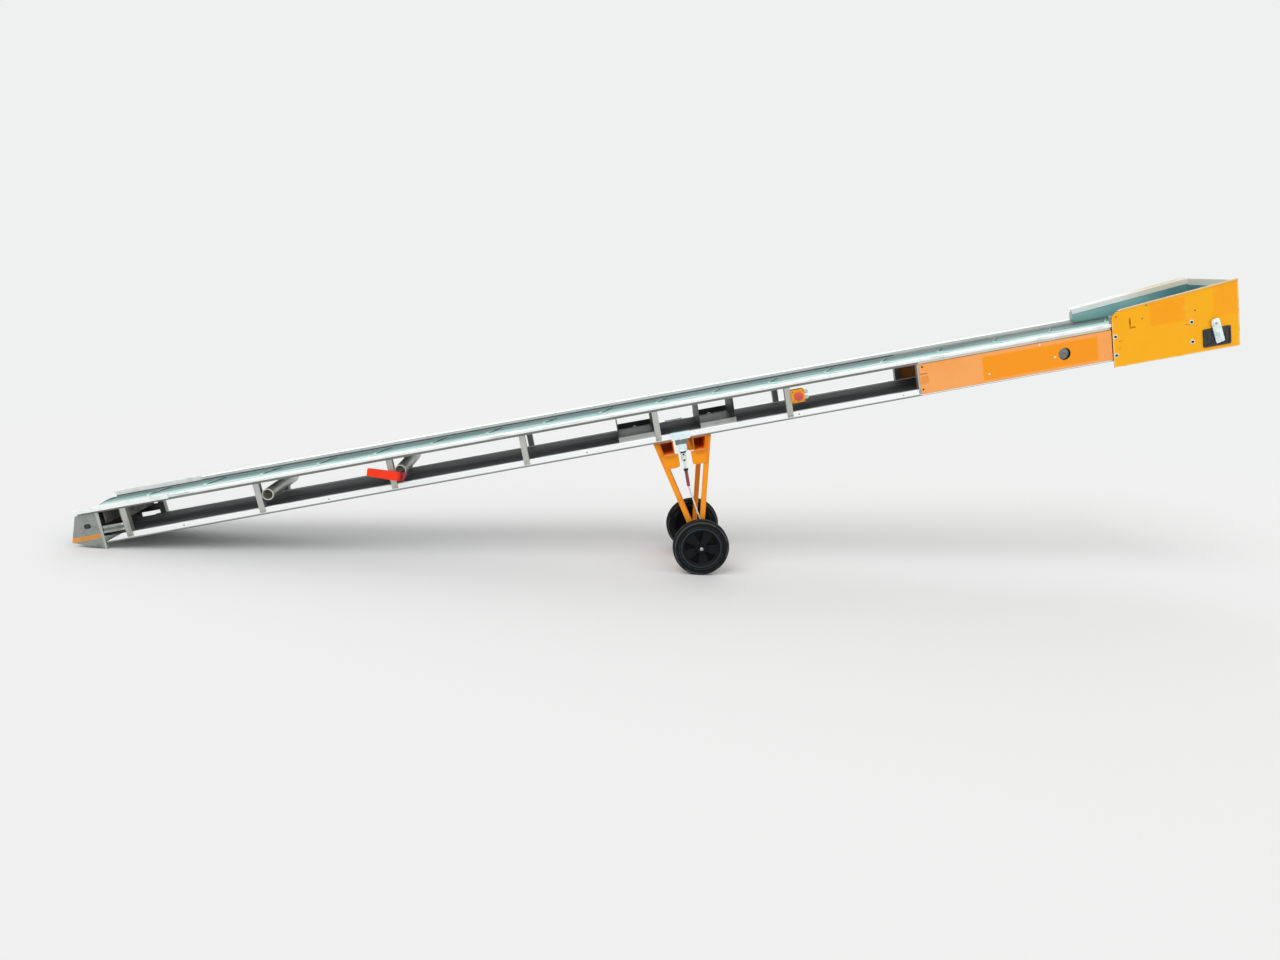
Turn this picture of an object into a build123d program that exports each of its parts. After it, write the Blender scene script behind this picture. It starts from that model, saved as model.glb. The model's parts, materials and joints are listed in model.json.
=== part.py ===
"""Mobile belt conveyor: an aluminium ladder frame with an endless cleated belt, a feed hopper at the raised
end, a discharge foot on the ground and a clamped-on undercarriage with two wheels. Millimetres, +Z up."""

import os
from math import asin, atan2, cos, hypot, pi, radians, sin

from build123d import *

os.makedirs("parts", exist_ok=True)

# Distances along the frame (u), across it (y) and square to it (w, from the underside of the bottom chord)
LENGTH = 6001.0           # tip of the guides to the back of the hopper
HALF_WIDTH = 220.0        # middle of the frame to the outside of the guide's lip
GAP = 0.3                 # between curved or moving faces that don't fit each other
FIT = 0.05                # radial clearance of a shaft in its bore
OVERCUT = 1.0             # how far a cut reaches past the faces that it opens
FRAME_END_SETBACK = 41.0  # guides and chords stop short of the hopper's back

# Guide: the upper profile with a rounded lip, a web and a shelf for the slide bed
LIP_TOP = 194.0
LIP_W = 16.0
LIP_H = 19.0
LIP_ROUND = 5.0
GUIDE_H = 30.0
WEB_T = 8.0
SHELF_T = 3.0
SHELF_REACH = 28.0

# Bottom chord: a rectangular tube, its discharge end cut on the slant
CHORD_INSET = 7.0         # its outer face, in from the guide's lip
CHORD_W = 25.0
CHORD_H = 36.0
CHORD_WALL = 2.5
CHORD_SETBACK = 7.0       # its end behind the foot's corner
CHORD_CUT = 90.0
CHORD_TIP = 8.0

# Posts: square tube between chord and guide, with a lap down the face of the chord
POST_FIRST = 231.0
POST_PITCH = 686.0
POST_W = 30.0
POST_DEPTH = 30.0
LAP_T = 4.0
LAP_LOW = 12.0

# Slide bed, drums and belt
BED_T = 2.0
BED_SETBACK = 28.0        # between the bed's ends and the drums
BED_CLEAR = 4.0           # between its edges and the guides' webs
DRUM_D = 134.0
DRUM_CLEAR = 2.0          # between the drums' ends and the shelves
DRUM_AXLE_D = 25.0
DRUM_AXLE_SHORT = 1.0     # the axles end this far inside the plates' outer faces
DISCHARGE_U = 33.0
FEED_SETBACK = 121.0      # feed axis in front of the hopper's back
IDLER_WALL = 6.0          # the feed drum is a tube on two webs with holes in them
IDLER_WEB = 10.0
IDLER_WEB_INSET = 14.0
IDLER_HOLES = 4
IDLER_HOLE_D = 24.0
BELT_CLEAR = 4.0          # between the belt's edges and the shelves
BELT_T = 3.0
CLEAT_COUNT = 40
CLEAT_H = 8.0
CLEAT_T = 12.0
CLEAT_MARGIN = 50.0       # between the chevron's tips and the belt's edges
CLEAT_SWEEP = 70.0        # how far its tips trail behind its point

# Return rollers: a thin axle with a disc near each edge of the belt, so that the cleats pass between
ROLLER_D = 30.0
ROLLER_DISC = 26.0
ROLLER_AXLE_D = 10.0

# Discharge foot: side plates, bearing blocks, straps, cross channel and the caps on the lips
PLATE_T = 4.0
FOOT_U = 98.0
FOOT_DROP = 31.0
FOOT_NOSE_U = -66.0
FOOT_NOSE_W = 33.0
FOOT_TOP_U = -14.0
SLOT_L = 36.0
SLOT_H = 26.0
BLOCK = 62.0
BLOCK_T = 18.0
BLOCK_ROUND = 8.0
BLOCK_CLEAR = 1.0         # between the feed blocks and the drum
STRAP_L = 150.0
STRAP_H = 12.0
STRAP_W = (58.0, 84.0)
CHANNEL_SETBACK = 14.0    # behind the foot's corner
CHANNEL_L = 84.0
CHANNEL_H = 72.0
CHANNEL_T = 3.0
CAP_OVERHANG = 10.0
CAP_L = 486.0
CAP_T = 3.0
CAP_SKIRT = 24.0
CAP_NOSE = 16.0

# Carrying tubes across the frame
TUBE_D = 60.0
TUBE_WALL = 5.0
TUBE_W = 100.0
TUBE_SHORT = 1.0          # its ends inside the chords' outer faces

# Stiffening trays on the bottom chords, one on each side of the undercarriage
TRAY_L = 186.0
TRAY_BEFORE = 228.0       # their middles from the middle of the undercarriage
TRAY_BEHIND = 197.0
TRAY_T = 3.0
TRAY_LIP = 26.0

# Side covers in front of the hopper
COVER_L = 991.0
COVER_CLEAR = 11.0
COVER_T = 3.0
COVER_LOW = 8.0
COVER_H = 152.0
COVER_HOLE_D = 62.0
COVER_HOLE_BACK = 239.0   # hole's centre from the cover's upper end

# Feed hopper: side plates, liners with a rim, and the back
HOPPER_L = 658.0
HOPPER_T = 4.0
HOPPER_DROP = 33.0        # below the chords' undersides
HOPPER_H_FRONT = 280.0
HOPPER_H_BACK = 336.0
HOPPER_ROUND = 38.0
LINER_CLEAR = 8.0         # between liner and lip
LINER_T = 2.0
LINER_LIFT = 3.0          # over the slide bed
LINER_FRONT = 8.0         # reach past the front edge of the side plate
LINER_ROUND = 44.0
RIM_W = 9.0
RIM_H = 9.0
HOOK_SLOT_U = 88.0
HOOK_SLOT_W = 185.0
HOOK_SLOT_H = 56.0
HOOK_SLOT_L = 32.0
HOOK_SLOT_T = 9.0

# Belt tensioner: black guide plate and zinc locking bar on each side
GUIDE_PLATE_L = 146.0
GUIDE_PLATE_H = 94.0
GUIDE_PLATE_T = 7.0
GUIDE_PLATE_LOW = -13.0
BAR_L = 128.0
BAR_W = 46.0
BAR_T = 8.0
BAR_TILT = 12.0           # upper end towards the discharge
BAR_CENTRE_W = 66.0

# Undercarriage, square to the frame
CARRIAGE_U = 3094.0
AXLE_DROP = 579.0
LEG = 26.0
LEG_DEPTH = 30.0
LEG_SPREAD = 134.0
LEG_FOOT = 5.0            # from the middle to a leg's centre line at the axle
LEG_LAP = 2.0             # how far the legs reach under the chords
LEG_TOP_GAP = 3.0
BEAM_INNER = 50.0         # middle of the carriage to the near wall of a cross beam
BEAM_H = 74.0
BEAM_WALL = 4.0
BEAM_SHORT = 2.0          # its ends inside the chords' outer faces
GUSSET_INNER = 33.0
GUSSET_H = 72.0
GUSSET_T = 4.0
GUSSET_CORNER = 14.0
AXLE_BEAM = 35.0
AXLE_BEAM_PROUD = 6.0     # past the legs' outer faces
AXLE_D = 20.0
AXLE_PROUD = 2.0          # past the nuts
SPACER_D = 34.0

# Clamps that hold the undercarriage to the chords: a saddle on both, a latch with its grip and rod on the near one
SADDLE_L = 98.0
SADDLE_T = 4.0
SADDLE_HOOK = 16.0
TAB_W = 14.0
TAB_LOW = 24.0
LATCH_W = 47.0            # top plate of the latch
LATCH_LOW = 66.0
TOGGLE_W = 28.0
TOGGLE_T = 16.0
TOGGLE_TOP = 30.0
TOGGLE_LOW = 118.0
ARM_W = 14.0
ARM_T = 6.0
ARM_L = 48.0
GRIP_D = 19.0
GRIP_L = 86.0
GRIP_ROUND = 4.0
ROD_D = 5.0
ROD_CLEAR = 0.6           # between the rods' ends and the grips
ROD_LOW = 480.0
EYE_D = 14.0

# Wheels
TYRE_D = 295.0
TYRE_W = 60.0
TYRE_BORE_D = 218.0
TYRE_ROUND = 13.0
WHEEL_CLEAR = 16.0        # between tyre and leg
HUB_RIM_T = 12.0
HUB_RIM_W = 52.0
HUB_FACE_T = 20.0
HUB_BOSS_D = 50.0
HUB_BOSS_W = 68.0
POCKET_COUNT = 5
POCKET_DEPTH = 12.0
POCKET_HALF = 23.0        # half of a pocket's opening, in degrees
POCKET_MARGIN = 6.0       # to the boss and to the rim
NUT_D = 30.0
NUT_T = 8.0

# Stop switch and hand lever on the near side
SWITCH_L = 68.0
SWITCH_H = 65.0
SWITCH_T = 50.0
SWITCH_LOW = 83.0
SWITCH_PROUD = 19.0       # past the chord's outer face
SWITCH_ROUND = 5.0
BUTTON_D = 44.0
BUTTON_T = 14.0
COLLAR_D = 30.0
COLLAR_T = 8.0
GLAND_D = 20.0
GLAND_L = 22.0
GLAND_LIFT = 14.0
LEVER_L = 200.0
LEVER_W = 38.0
LEVER_W_END = 46.0
LEVER_T = 22.0
LEVER_BEVEL = 24.0        # slanted end face, along the lever
LEVER_BEVEL_T = 16.0      # and through its thickness
LEVER_SLANT = 18.0        # of that end, seen from the side
LEVER_TILT = -19.0
LEVER_PIVOT = 121.0       # from the lever's free end
LEVER_HEIGHT = 87.0
LEVER_STANDOFF = 5.0
LEVER_PIN_D = 18.0

# Resting slope: the foot's corner and both wheels stand on the ground
wheel_du = CARRIAGE_U - FOOT_U
wheel_dw = FOOT_DROP - AXLE_DROP
slope = asin(TYRE_D / 2 / hypot(wheel_du, wheel_dw)) - atan2(wheel_dw, wheel_du)
U_DIR = (cos(slope), 0, sin(slope))
W_DIR = (-sin(slope), 0, cos(slope))
NEAR, FAR = -1, 1
SIDES = (("near", NEAR), ("far", FAR))
x_low = FOOT_NOSE_U * cos(slope) - FOOT_NOSE_W * sin(slope)
x_high = LENGTH * cos(slope) + HOPPER_DROP * sin(slope)
X_SHIFT = -(x_low + x_high) / 2
Z_SHIFT = FOOT_DROP * cos(slope) - FOOT_U * sin(slope)


def at(u, y, w):
    """The point of the resting frame at u, y, w."""
    return (X_SHIFT + u * cos(slope) - w * sin(slope), y, Z_SHIFT + u * sin(slope) + w * cos(slope))


def station(u):
    """Section plane across the frame: y to the far side, w up, normal along the frame."""
    return Plane(origin=at(u, 0, 0), x_dir=(0, 1, 0), z_dir=U_DIR)


def layer(w, side=NEAR, u=0.0, y=0.0):
    """Plane parallel to the belt: u along the frame, y to the far side."""
    return Plane(origin=at(u, side * y, w), x_dir=U_DIR, z_dir=W_DIR)


def sheet(side, inner, outer):
    """Side-view plane for a sheet between two distances from the middle, extruded by outer - inner."""
    y = -inner if side == NEAR else outer
    return Plane(origin=at(0, y, 0), x_dir=U_DIR, z_dir=(0, -1, 0))


def outward(side, distance, u=0.0, w=0.0):
    """Side-view plane whose normal points away from the frame on either side: u runs backwards on the far one."""
    x_dir = tuple(-side * d for d in U_DIR)
    return Plane(origin=at(u, side * distance, w), x_dir=x_dir, z_dir=(0, side, 0))


def save(piece, name):
    """Labels a finished piece and writes it to its own file."""
    piece.part.label = name
    export_step(piece.part, f"parts/{name}.step")


frame_end = LENGTH - FRAME_END_SETBACK
lip_in = HALF_WIDTH - LIP_W
web_out = lip_in + WEB_T
web_low = LIP_TOP - GUIDE_H
shelf_in = web_out - SHELF_REACH
chord_out = HALF_WIDTH - CHORD_INSET
chord_in = chord_out - CHORD_W
chord_start = FOOT_U + CHORD_SETBACK
post_in = chord_out - POST_DEPTH
lap_out = chord_out + LAP_T
post_count = int((frame_end - POST_FIRST) / POST_PITCH) + 1
post_centres = [POST_FIRST + POST_PITCH * k for k in range(post_count)]
bay_centres = [u + POST_PITCH / 2 for u in post_centres[:-1]]
bed_low = web_low + SHELF_T
bed_top = bed_low + BED_T
drum_w = bed_top - DRUM_D / 2
drum_half = shelf_in - DRUM_CLEAR
drum_clear = DRUM_D / 2 + GAP
feed_u = LENGTH - FEED_SETBACK
belt_half = shelf_in - BELT_CLEAR
belt_out = drum_clear + BELT_T
plate_in = chord_out - PLATE_T
hopper_front = LENGTH - HOPPER_L
hopper_out = HALF_WIDTH + HOPPER_T

# Guides
for name, side in SIDES:
    with BuildPart() as guide:
        with BuildSketch(station(0)):
            with Locations((side * (HALF_WIDTH - LIP_W / 2), LIP_TOP - LIP_H / 2)):
                RectangleRounded(LIP_W, LIP_H, LIP_ROUND)
            web_h = GUIDE_H - LIP_H / 2
            with Locations((side * (lip_in + WEB_T / 2), web_low + web_h / 2)):
                Rectangle(WEB_T, web_h)
            with Locations((side * (web_out - SHELF_REACH / 2), web_low + SHELF_T / 2)):
                Rectangle(SHELF_REACH, SHELF_T)
        extrude(amount=frame_end)
    save(guide, f"guide_{name}")

# Bottom chords
for name, side in SIDES:
    with BuildPart() as chord:
        with BuildSketch(station(chord_start)):
            with Locations((side * (chord_out - CHORD_W / 2), CHORD_H / 2)):
                RectangleRounded(CHORD_W, CHORD_H, CHORD_WALL)
                Rectangle(CHORD_W - 2 * CHORD_WALL, CHORD_H - 2 * CHORD_WALL, mode=Mode.SUBTRACT)
        extrude(amount=frame_end - chord_start)
        with BuildSketch(sheet(side, chord_in - OVERCUT, chord_out + OVERCUT)):
            with BuildLine():
                Polyline(
                    (chord_start - OVERCUT, CHORD_TIP),
                    (chord_start + CHORD_CUT, CHORD_H + OVERCUT),
                    (chord_start - OVERCUT, CHORD_H + OVERCUT),
                    close=True,
                )
            make_face()
        extrude(amount=CHORD_W + 2 * OVERCUT, mode=Mode.SUBTRACT)
    save(chord, f"chord_{name}")

# Posts
for name, side in SIDES:
    with BuildPart() as posts:
        with BuildSketch(sheet(side, post_in, chord_out)):
            for u in post_centres:
                with Locations((u, (CHORD_H + web_low) / 2)):
                    Rectangle(POST_W, web_low - CHORD_H)
        extrude(amount=POST_DEPTH)
        with BuildSketch(sheet(side, chord_out, lap_out)):
            for u in post_centres:
                with Locations((u, (LAP_LOW + web_low) / 2)):
                    Rectangle(POST_W, web_low - LAP_LOW)
        extrude(amount=LAP_T)
    save(posts, f"posts_{name}")

# Slide bed under the carrying run, on the guides' shelves
bed_start = DISCHARGE_U + DRUM_D / 2 + BED_SETBACK
bed_end = feed_u - DRUM_D / 2 - BED_SETBACK
with BuildPart() as bed:
    with BuildSketch(layer(bed_low)):
        with Locations(((bed_start + bed_end) / 2, 0)):
            Rectangle(bed_end - bed_start, 2 * (lip_in - BED_CLEAR))
    extrude(amount=BED_T)
save(bed, "slide_bed")

# Discharge drum: the heavy one, with its drive inside
discharge_axle_half = chord_out - DRUM_AXLE_SHORT
with BuildPart() as drum:
    with BuildSketch(sheet(FAR, -drum_half, drum_half)):
        with Locations((DISCHARGE_U, drum_w)):
            Circle(DRUM_D / 2)
    extrude(amount=2 * drum_half)
    with BuildSketch(sheet(FAR, -discharge_axle_half, discharge_axle_half)):
        with Locations((DISCHARGE_U, drum_w)):
            Circle(DRUM_AXLE_D / 2)
    extrude(amount=2 * discharge_axle_half)
save(drum, "discharge_drum")

# Feed drum: a tube on two webs, each with a ring of holes, on a plain axle
feed_axle_half = HALF_WIDTH - DRUM_AXLE_SHORT
web_end = drum_half - IDLER_WEB_INSET
idler_bore = DRUM_D / 2 - IDLER_WALL
with BuildPart() as idler:
    with BuildSketch(sheet(FAR, -drum_half, drum_half)):
        with Locations((feed_u, drum_w)):
            Circle(DRUM_D / 2)
            Circle(idler_bore, mode=Mode.SUBTRACT)
    extrude(amount=2 * drum_half)
    for side in (NEAR, FAR):
        with BuildSketch(sheet(side, web_end - IDLER_WEB, web_end)):
            with Locations((feed_u, drum_w)):
                Circle(idler_bore)
                with PolarLocations((DRUM_AXLE_D / 2 + idler_bore) / 2, IDLER_HOLES):
                    Circle(IDLER_HOLE_D / 2, mode=Mode.SUBTRACT)
        extrude(amount=IDLER_WEB)
    with BuildSketch(sheet(FAR, -feed_axle_half, feed_axle_half)):
        with Locations((feed_u, drum_w)):
            Circle(DRUM_AXLE_D / 2)
    extrude(amount=2 * feed_axle_half)
save(idler, "feed_drum")

# Belt: one closed loop with chevron cleats on both straight runs
run = feed_u - DISCHARGE_U
wrap = pi * belt_out
cleat_pitch = (2 * run + 2 * wrap) / CLEAT_COUNT
cleat_reach = CLEAT_SWEEP + CLEAT_T
cleat_half = belt_half - CLEAT_MARGIN
with BuildPart() as belt:
    with BuildSketch(sheet(FAR, -belt_half, belt_half)):
        with Locations(((DISCHARGE_U + feed_u) / 2, drum_w)):
            SlotCenterToCenter(run, 2 * belt_out)
            SlotCenterToCenter(run, 2 * drum_clear, mode=Mode.SUBTRACT)
    extrude(amount=2 * belt_half)
    for k in range(CLEAT_COUNT):
        travel = (k + 0.5) * cleat_pitch
        on_top = travel < run
        if on_top:
            place = layer(drum_w + belt_out, u=feed_u - travel)
            room = min(travel, run - travel)
        else:
            back = travel - run - wrap
            place = layer(drum_w - belt_out, u=DISCHARGE_U + back).rotated((0, 180, 0))
            room = min(back, run - back)
        if room < cleat_reach:
            continue
        with BuildSketch(place):
            with BuildLine():
                Polyline(
                    (-CLEAT_T / 2, 0),
                    (CLEAT_SWEEP - CLEAT_T / 2, cleat_half),
                    (CLEAT_SWEEP + CLEAT_T / 2, cleat_half),
                    (CLEAT_T / 2, 0),
                    (CLEAT_SWEEP + CLEAT_T / 2, -cleat_half),
                    (CLEAT_SWEEP - CLEAT_T / 2, -cleat_half),
                    close=True,
                )
            make_face()
        extrude(amount=CLEAT_H)
save(belt, "belt")

# Return rollers: a disc near each edge of the belt, in the middle of every second bay
roller_w = drum_w - belt_out - GAP - ROLLER_D / 2
roller_bays = bay_centres[::2]
with BuildPart() as rollers:
    with BuildSketch(sheet(FAR, -chord_in, chord_in)):
        for u in roller_bays:
            with Locations((u, roller_w)):
                Circle(ROLLER_AXLE_D / 2)
    extrude(amount=2 * chord_in)
    for side in (NEAR, FAR):
        with BuildSketch(sheet(side, belt_half - ROLLER_DISC, belt_half)):
            for u in roller_bays:
                with Locations((u, roller_w)):
                    Circle(ROLLER_D / 2)
        extrude(amount=ROLLER_DISC)
save(rollers, "return_rollers")

# Discharge foot plates
for name, side in SIDES:
    with BuildPart() as foot:
        with BuildSketch(sheet(side, plate_in, chord_out)):
            with BuildLine():
                Polyline(
                    (FOOT_U, -FOOT_DROP),
                    (chord_start - GAP, web_low),
                    (FOOT_TOP_U, web_low),
                    (FOOT_NOSE_U, FOOT_NOSE_W),
                    close=True,
                )
            make_face()
            with Locations((DISCHARGE_U, drum_w)):
                SlotOverall(SLOT_L, SLOT_H, mode=Mode.SUBTRACT)
        extrude(amount=PLATE_T)
    save(foot, f"discharge_plate_{name}")

# Bearing blocks behind the foot plates
with BuildPart() as blocks:
    for side in (NEAR, FAR):
        with BuildSketch(sheet(side, plate_in - BLOCK_T, plate_in)):
            with Locations((DISCHARGE_U, drum_w)):
                RectangleRounded(BLOCK, BLOCK, BLOCK_ROUND)
                Circle(DRUM_AXLE_D / 2 + FIT, mode=Mode.SUBTRACT)
        extrude(amount=BLOCK_T)
save(blocks, "discharge_bearing_blocks")

# Straps from the foot plates to the first posts
strap_end = POST_FIRST - POST_W / 2
with BuildPart() as straps:
    for side in (NEAR, FAR):
        with BuildSketch(sheet(side, plate_in - PLATE_T, plate_in)):
            for w in STRAP_W:
                with Locations((strap_end - STRAP_L / 2, w)):
                    Rectangle(STRAP_L, STRAP_H)
        extrude(amount=PLATE_T)
save(straps, "discharge_straps")

# Cross channel under the front of the slide bed
channel_u = FOOT_U + CHANNEL_SETBACK + CHANNEL_L / 2
channel_w = bed_low - CHANNEL_H / 2
with BuildPart() as channel:
    with BuildSketch(sheet(FAR, -post_in, post_in)):
        with Locations((channel_u, channel_w)):
            Rectangle(CHANNEL_L, CHANNEL_H)
        with Locations((channel_u, channel_w - CHANNEL_T)):
            Rectangle(CHANNEL_L - 2 * CHANNEL_T, CHANNEL_H, mode=Mode.SUBTRACT)
    extrude(amount=2 * post_in)
save(channel, "cross_channel")

# Caps over the lips at the discharge end
cap_in = lip_in - GAP - CAP_T
cap_out = HALF_WIDTH + GAP + CAP_T
cap_top = LIP_TOP + GAP + CAP_T
cap_low = cap_top - CAP_SKIRT
cap_u = CAP_L / 2 - CAP_OVERHANG
for name, side in SIDES:
    with BuildPart() as cap:
        with BuildSketch(sheet(side, cap_in, cap_out)):
            with Locations((cap_u, cap_top - CAP_SKIRT / 2)):
                Rectangle(CAP_L, CAP_SKIRT)
        extrude(amount=cap_out - cap_in)
        with BuildSketch(sheet(side, cap_in + CAP_T, cap_out - CAP_T)):
            with Locations((cap_u, cap_top - CAP_T - CAP_SKIRT / 2)):
                Rectangle(CAP_L + 2 * OVERCUT, CAP_SKIRT)
        extrude(amount=cap_out - cap_in - 2 * CAP_T, mode=Mode.SUBTRACT)
        with BuildSketch(sheet(side, cap_in - OVERCUT, cap_out + OVERCUT)):
            with BuildLine():
                Polyline(
                    (-CAP_OVERHANG - OVERCUT, cap_low - OVERCUT),
                    (-CAP_OVERHANG - OVERCUT, cap_top - CAP_T),
                    (-CAP_OVERHANG, cap_top - CAP_T),
                    (CAP_NOSE - CAP_OVERHANG, cap_low - OVERCUT),
                    close=True,
                )
            make_face()
        extrude(amount=cap_out - cap_in + 2 * OVERCUT, mode=Mode.SUBTRACT)
    save(cap, f"edge_cap_{name}")

# Carrying tubes behind the second and third post
tube_half = chord_out - TUBE_SHORT
with BuildPart() as tubes:
    with BuildSketch(sheet(FAR, -tube_half, tube_half)):
        for u in post_centres[1:3]:
            with Locations((u + POST_W / 2 + GAP + TUBE_D / 2, TUBE_W)):
                Circle(TUBE_D / 2)
                Circle(TUBE_D / 2 - TUBE_WALL, mode=Mode.SUBTRACT)
    extrude(amount=2 * tube_half)
save(tubes, "carrying_tubes")

# Stiffening trays: a floor on the chords with low lips, and a cross plate at each end
tray_half = chord_out - TRAY_T
with BuildPart() as trays:
    for centre in (CARRIAGE_U - TRAY_BEFORE, CARRIAGE_U + TRAY_BEHIND):
        with BuildSketch(layer(CHORD_H)):
            with Locations((centre, 0)):
                Rectangle(TRAY_L, 2 * tray_half)
        extrude(amount=TRAY_T)
        with BuildSketch(layer(CHORD_H + TRAY_T)):
            for end in (-1, 1):
                with Locations((centre + end * (TRAY_L - TRAY_T) / 2, 0)):
                    Rectangle(TRAY_T, 2 * post_in)
        extrude(amount=bed_low - CHORD_H - TRAY_T)
        with BuildSketch(layer(CHORD_H + TRAY_T)):
            for side in (NEAR, FAR):
                with Locations((centre, side * (tray_half - TRAY_T / 2))):
                    Rectangle(TRAY_L, TRAY_T)
        extrude(amount=TRAY_LIP)
save(trays, "stiffening_trays")

# Side covers
cover_end = hopper_front - COVER_CLEAR
cover_w = COVER_LOW + COVER_H / 2
for name, side in SIDES:
    with BuildPart() as cover:
        with BuildSketch(sheet(side, lap_out, lap_out + COVER_T)):
            with Locations((cover_end - COVER_L / 2, cover_w)):
                RectangleRounded(COVER_L, COVER_H, COVER_T)
            with Locations((cover_end - COVER_HOLE_BACK, cover_w)):
                Circle(COVER_HOLE_D / 2, mode=Mode.SUBTRACT)
        extrude(amount=COVER_T)
    save(cover, f"side_cover_{name}")

# Hopper side plates, liners and back
hopper_mid = hopper_front + HOPPER_L / 2
front_top = HOPPER_H_FRONT - HOPPER_DROP
back_top = HOPPER_H_BACK - HOPPER_DROP
rise = (back_top - front_top) / HOPPER_L


def hopper_top(u):
    """Height of the side plate's upper edge at u."""
    return front_top + rise * (u - hopper_front)


for name, side in SIDES:
    with BuildPart() as hopper_side:
        with BuildSketch(sheet(side, HALF_WIDTH, hopper_out)):
            with BuildLine() as edge:
                FilletPolyline(
                    (hopper_front, 0),
                    (hopper_front, front_top),
                    (hopper_mid, hopper_top(hopper_mid)),
                    radius=HOPPER_ROUND,
                )
                Polyline(
                    edge.line @ 1,
                    (LENGTH, back_top),
                    (LENGTH, -HOPPER_DROP),
                    (hopper_front, -HOPPER_DROP),
                    edge.line @ 0,
                )
            make_face()
            slot_u = hopper_front + HOOK_SLOT_U
            slot_w = HOOK_SLOT_W - HOPPER_DROP
            with Locations((slot_u + HOOK_SLOT_T / 2, slot_w + HOOK_SLOT_H / 2)):
                Rectangle(HOOK_SLOT_T, HOOK_SLOT_H, mode=Mode.SUBTRACT)
            with Locations((slot_u + HOOK_SLOT_L / 2, slot_w + HOOK_SLOT_T / 2)):
                Rectangle(HOOK_SLOT_L, HOOK_SLOT_T, mode=Mode.SUBTRACT)
        extrude(amount=HOPPER_T)
    save(hopper_side, f"hopper_side_{name}")

liner_front = hopper_front - LINER_FRONT
liner_end = LENGTH - HOPPER_T
liner_out = lip_in - LINER_CLEAR
liner_in = liner_out - LINER_T
liner_low = bed_top + LINER_LIFT
rim_out = hopper_out + RIM_W / 2
# inner and outer distance of the rim's flange and of its bead, and its height over the side plate
rims = ((liner_in, rim_out, LINER_T), (hopper_out - RIM_W / 2, rim_out, RIM_H))
for name, side in SIDES:
    with BuildPart() as liner:
        with BuildSketch(sheet(side, liner_in, liner_out)):
            with BuildLine() as edge:
                FilletPolyline(
                    (liner_front, hopper_top(liner_front)),
                    (liner_front, liner_low),
                    (hopper_mid, liner_low),
                    radius=LINER_ROUND,
                )
                Polyline(
                    edge.line @ 1,
                    (liner_end, liner_low),
                    (liner_end, hopper_top(liner_end)),
                    edge.line @ 0,
                )
            make_face()
        extrude(amount=LINER_T)
        for inner, outer, height in rims:
            with BuildSketch(sheet(side, inner, outer)):
                with BuildLine():
                    Polyline(
                        (liner_front, hopper_top(liner_front)),
                        (liner_end, hopper_top(liner_end)),
                        (liner_end, hopper_top(liner_end) + height),
                        (liner_front, hopper_top(liner_front) + height),
                        close=True,
                    )
                make_face()
            extrude(amount=outer - inner)
    save(liner, f"hopper_liner_{name}")

with BuildPart() as back:
    with BuildSketch(station(LENGTH - HOPPER_T)):
        with Locations((0, back_top - HOPPER_H_BACK / 2)):
            Rectangle(2 * HALF_WIDTH, HOPPER_H_BACK)
    extrude(amount=HOPPER_T)
save(back, "hopper_back")

# Feed bearing blocks against the hopper's sides
block_in = drum_half + BLOCK_CLEAR
with BuildPart() as feed_blocks:
    for side in (NEAR, FAR):
        with BuildSketch(sheet(side, block_in, HALF_WIDTH)):
            with Locations((feed_u, drum_w)):
                Rectangle(BLOCK, BLOCK)
                Circle(DRUM_AXLE_D / 2 + FIT, mode=Mode.SUBTRACT)
        extrude(amount=HALF_WIDTH - block_in)
save(feed_blocks, "feed_bearing_blocks")

# Black guide plates of the tensioner on the hopper's sides, and the zinc bars that lock them
guide_plate_out = hopper_out + GUIDE_PLATE_T
with BuildPart() as guide_plates:
    for side in (NEAR, FAR):
        with BuildSketch(sheet(side, hopper_out, guide_plate_out)):
            with Locations((feed_u, GUIDE_PLATE_LOW + GUIDE_PLATE_H / 2)):
                RectangleRounded(GUIDE_PLATE_L, GUIDE_PLATE_H, GUIDE_PLATE_T)
        extrude(amount=GUIDE_PLATE_T)
save(guide_plates, "tensioner_plates")

with BuildPart() as bars:
    for side in (NEAR, FAR):
        with BuildSketch(sheet(side, guide_plate_out, guide_plate_out + BAR_T)):
            with Locations(Location((feed_u, BAR_CENTRE_W), BAR_TILT)):
                RectangleRounded(BAR_W, BAR_L, BAR_T)
        extrude(amount=BAR_T)
save(bars, "tensioner_bars")

# Undercarriage: an A of two legs on each side, with gussets under the cross beams
leg_fall = AXLE_DROP / LEG_SPREAD
leg_half = LEG / 2 / cos(atan2(LEG_SPREAD, AXLE_DROP))
leg_foot = AXLE_BEAM / 2 - AXLE_DROP
leg_out = chord_in + LEG_LAP
leg_in = leg_out - LEG_DEPTH
wheel_y = leg_out + WHEEL_CLEAR + TYRE_W / 2


def leg_centre(w):
    """Distance of a leg's centre line from the middle of the undercarriage at height w."""
    return LEG_FOOT + (AXLE_DROP + w) / leg_fall


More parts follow.
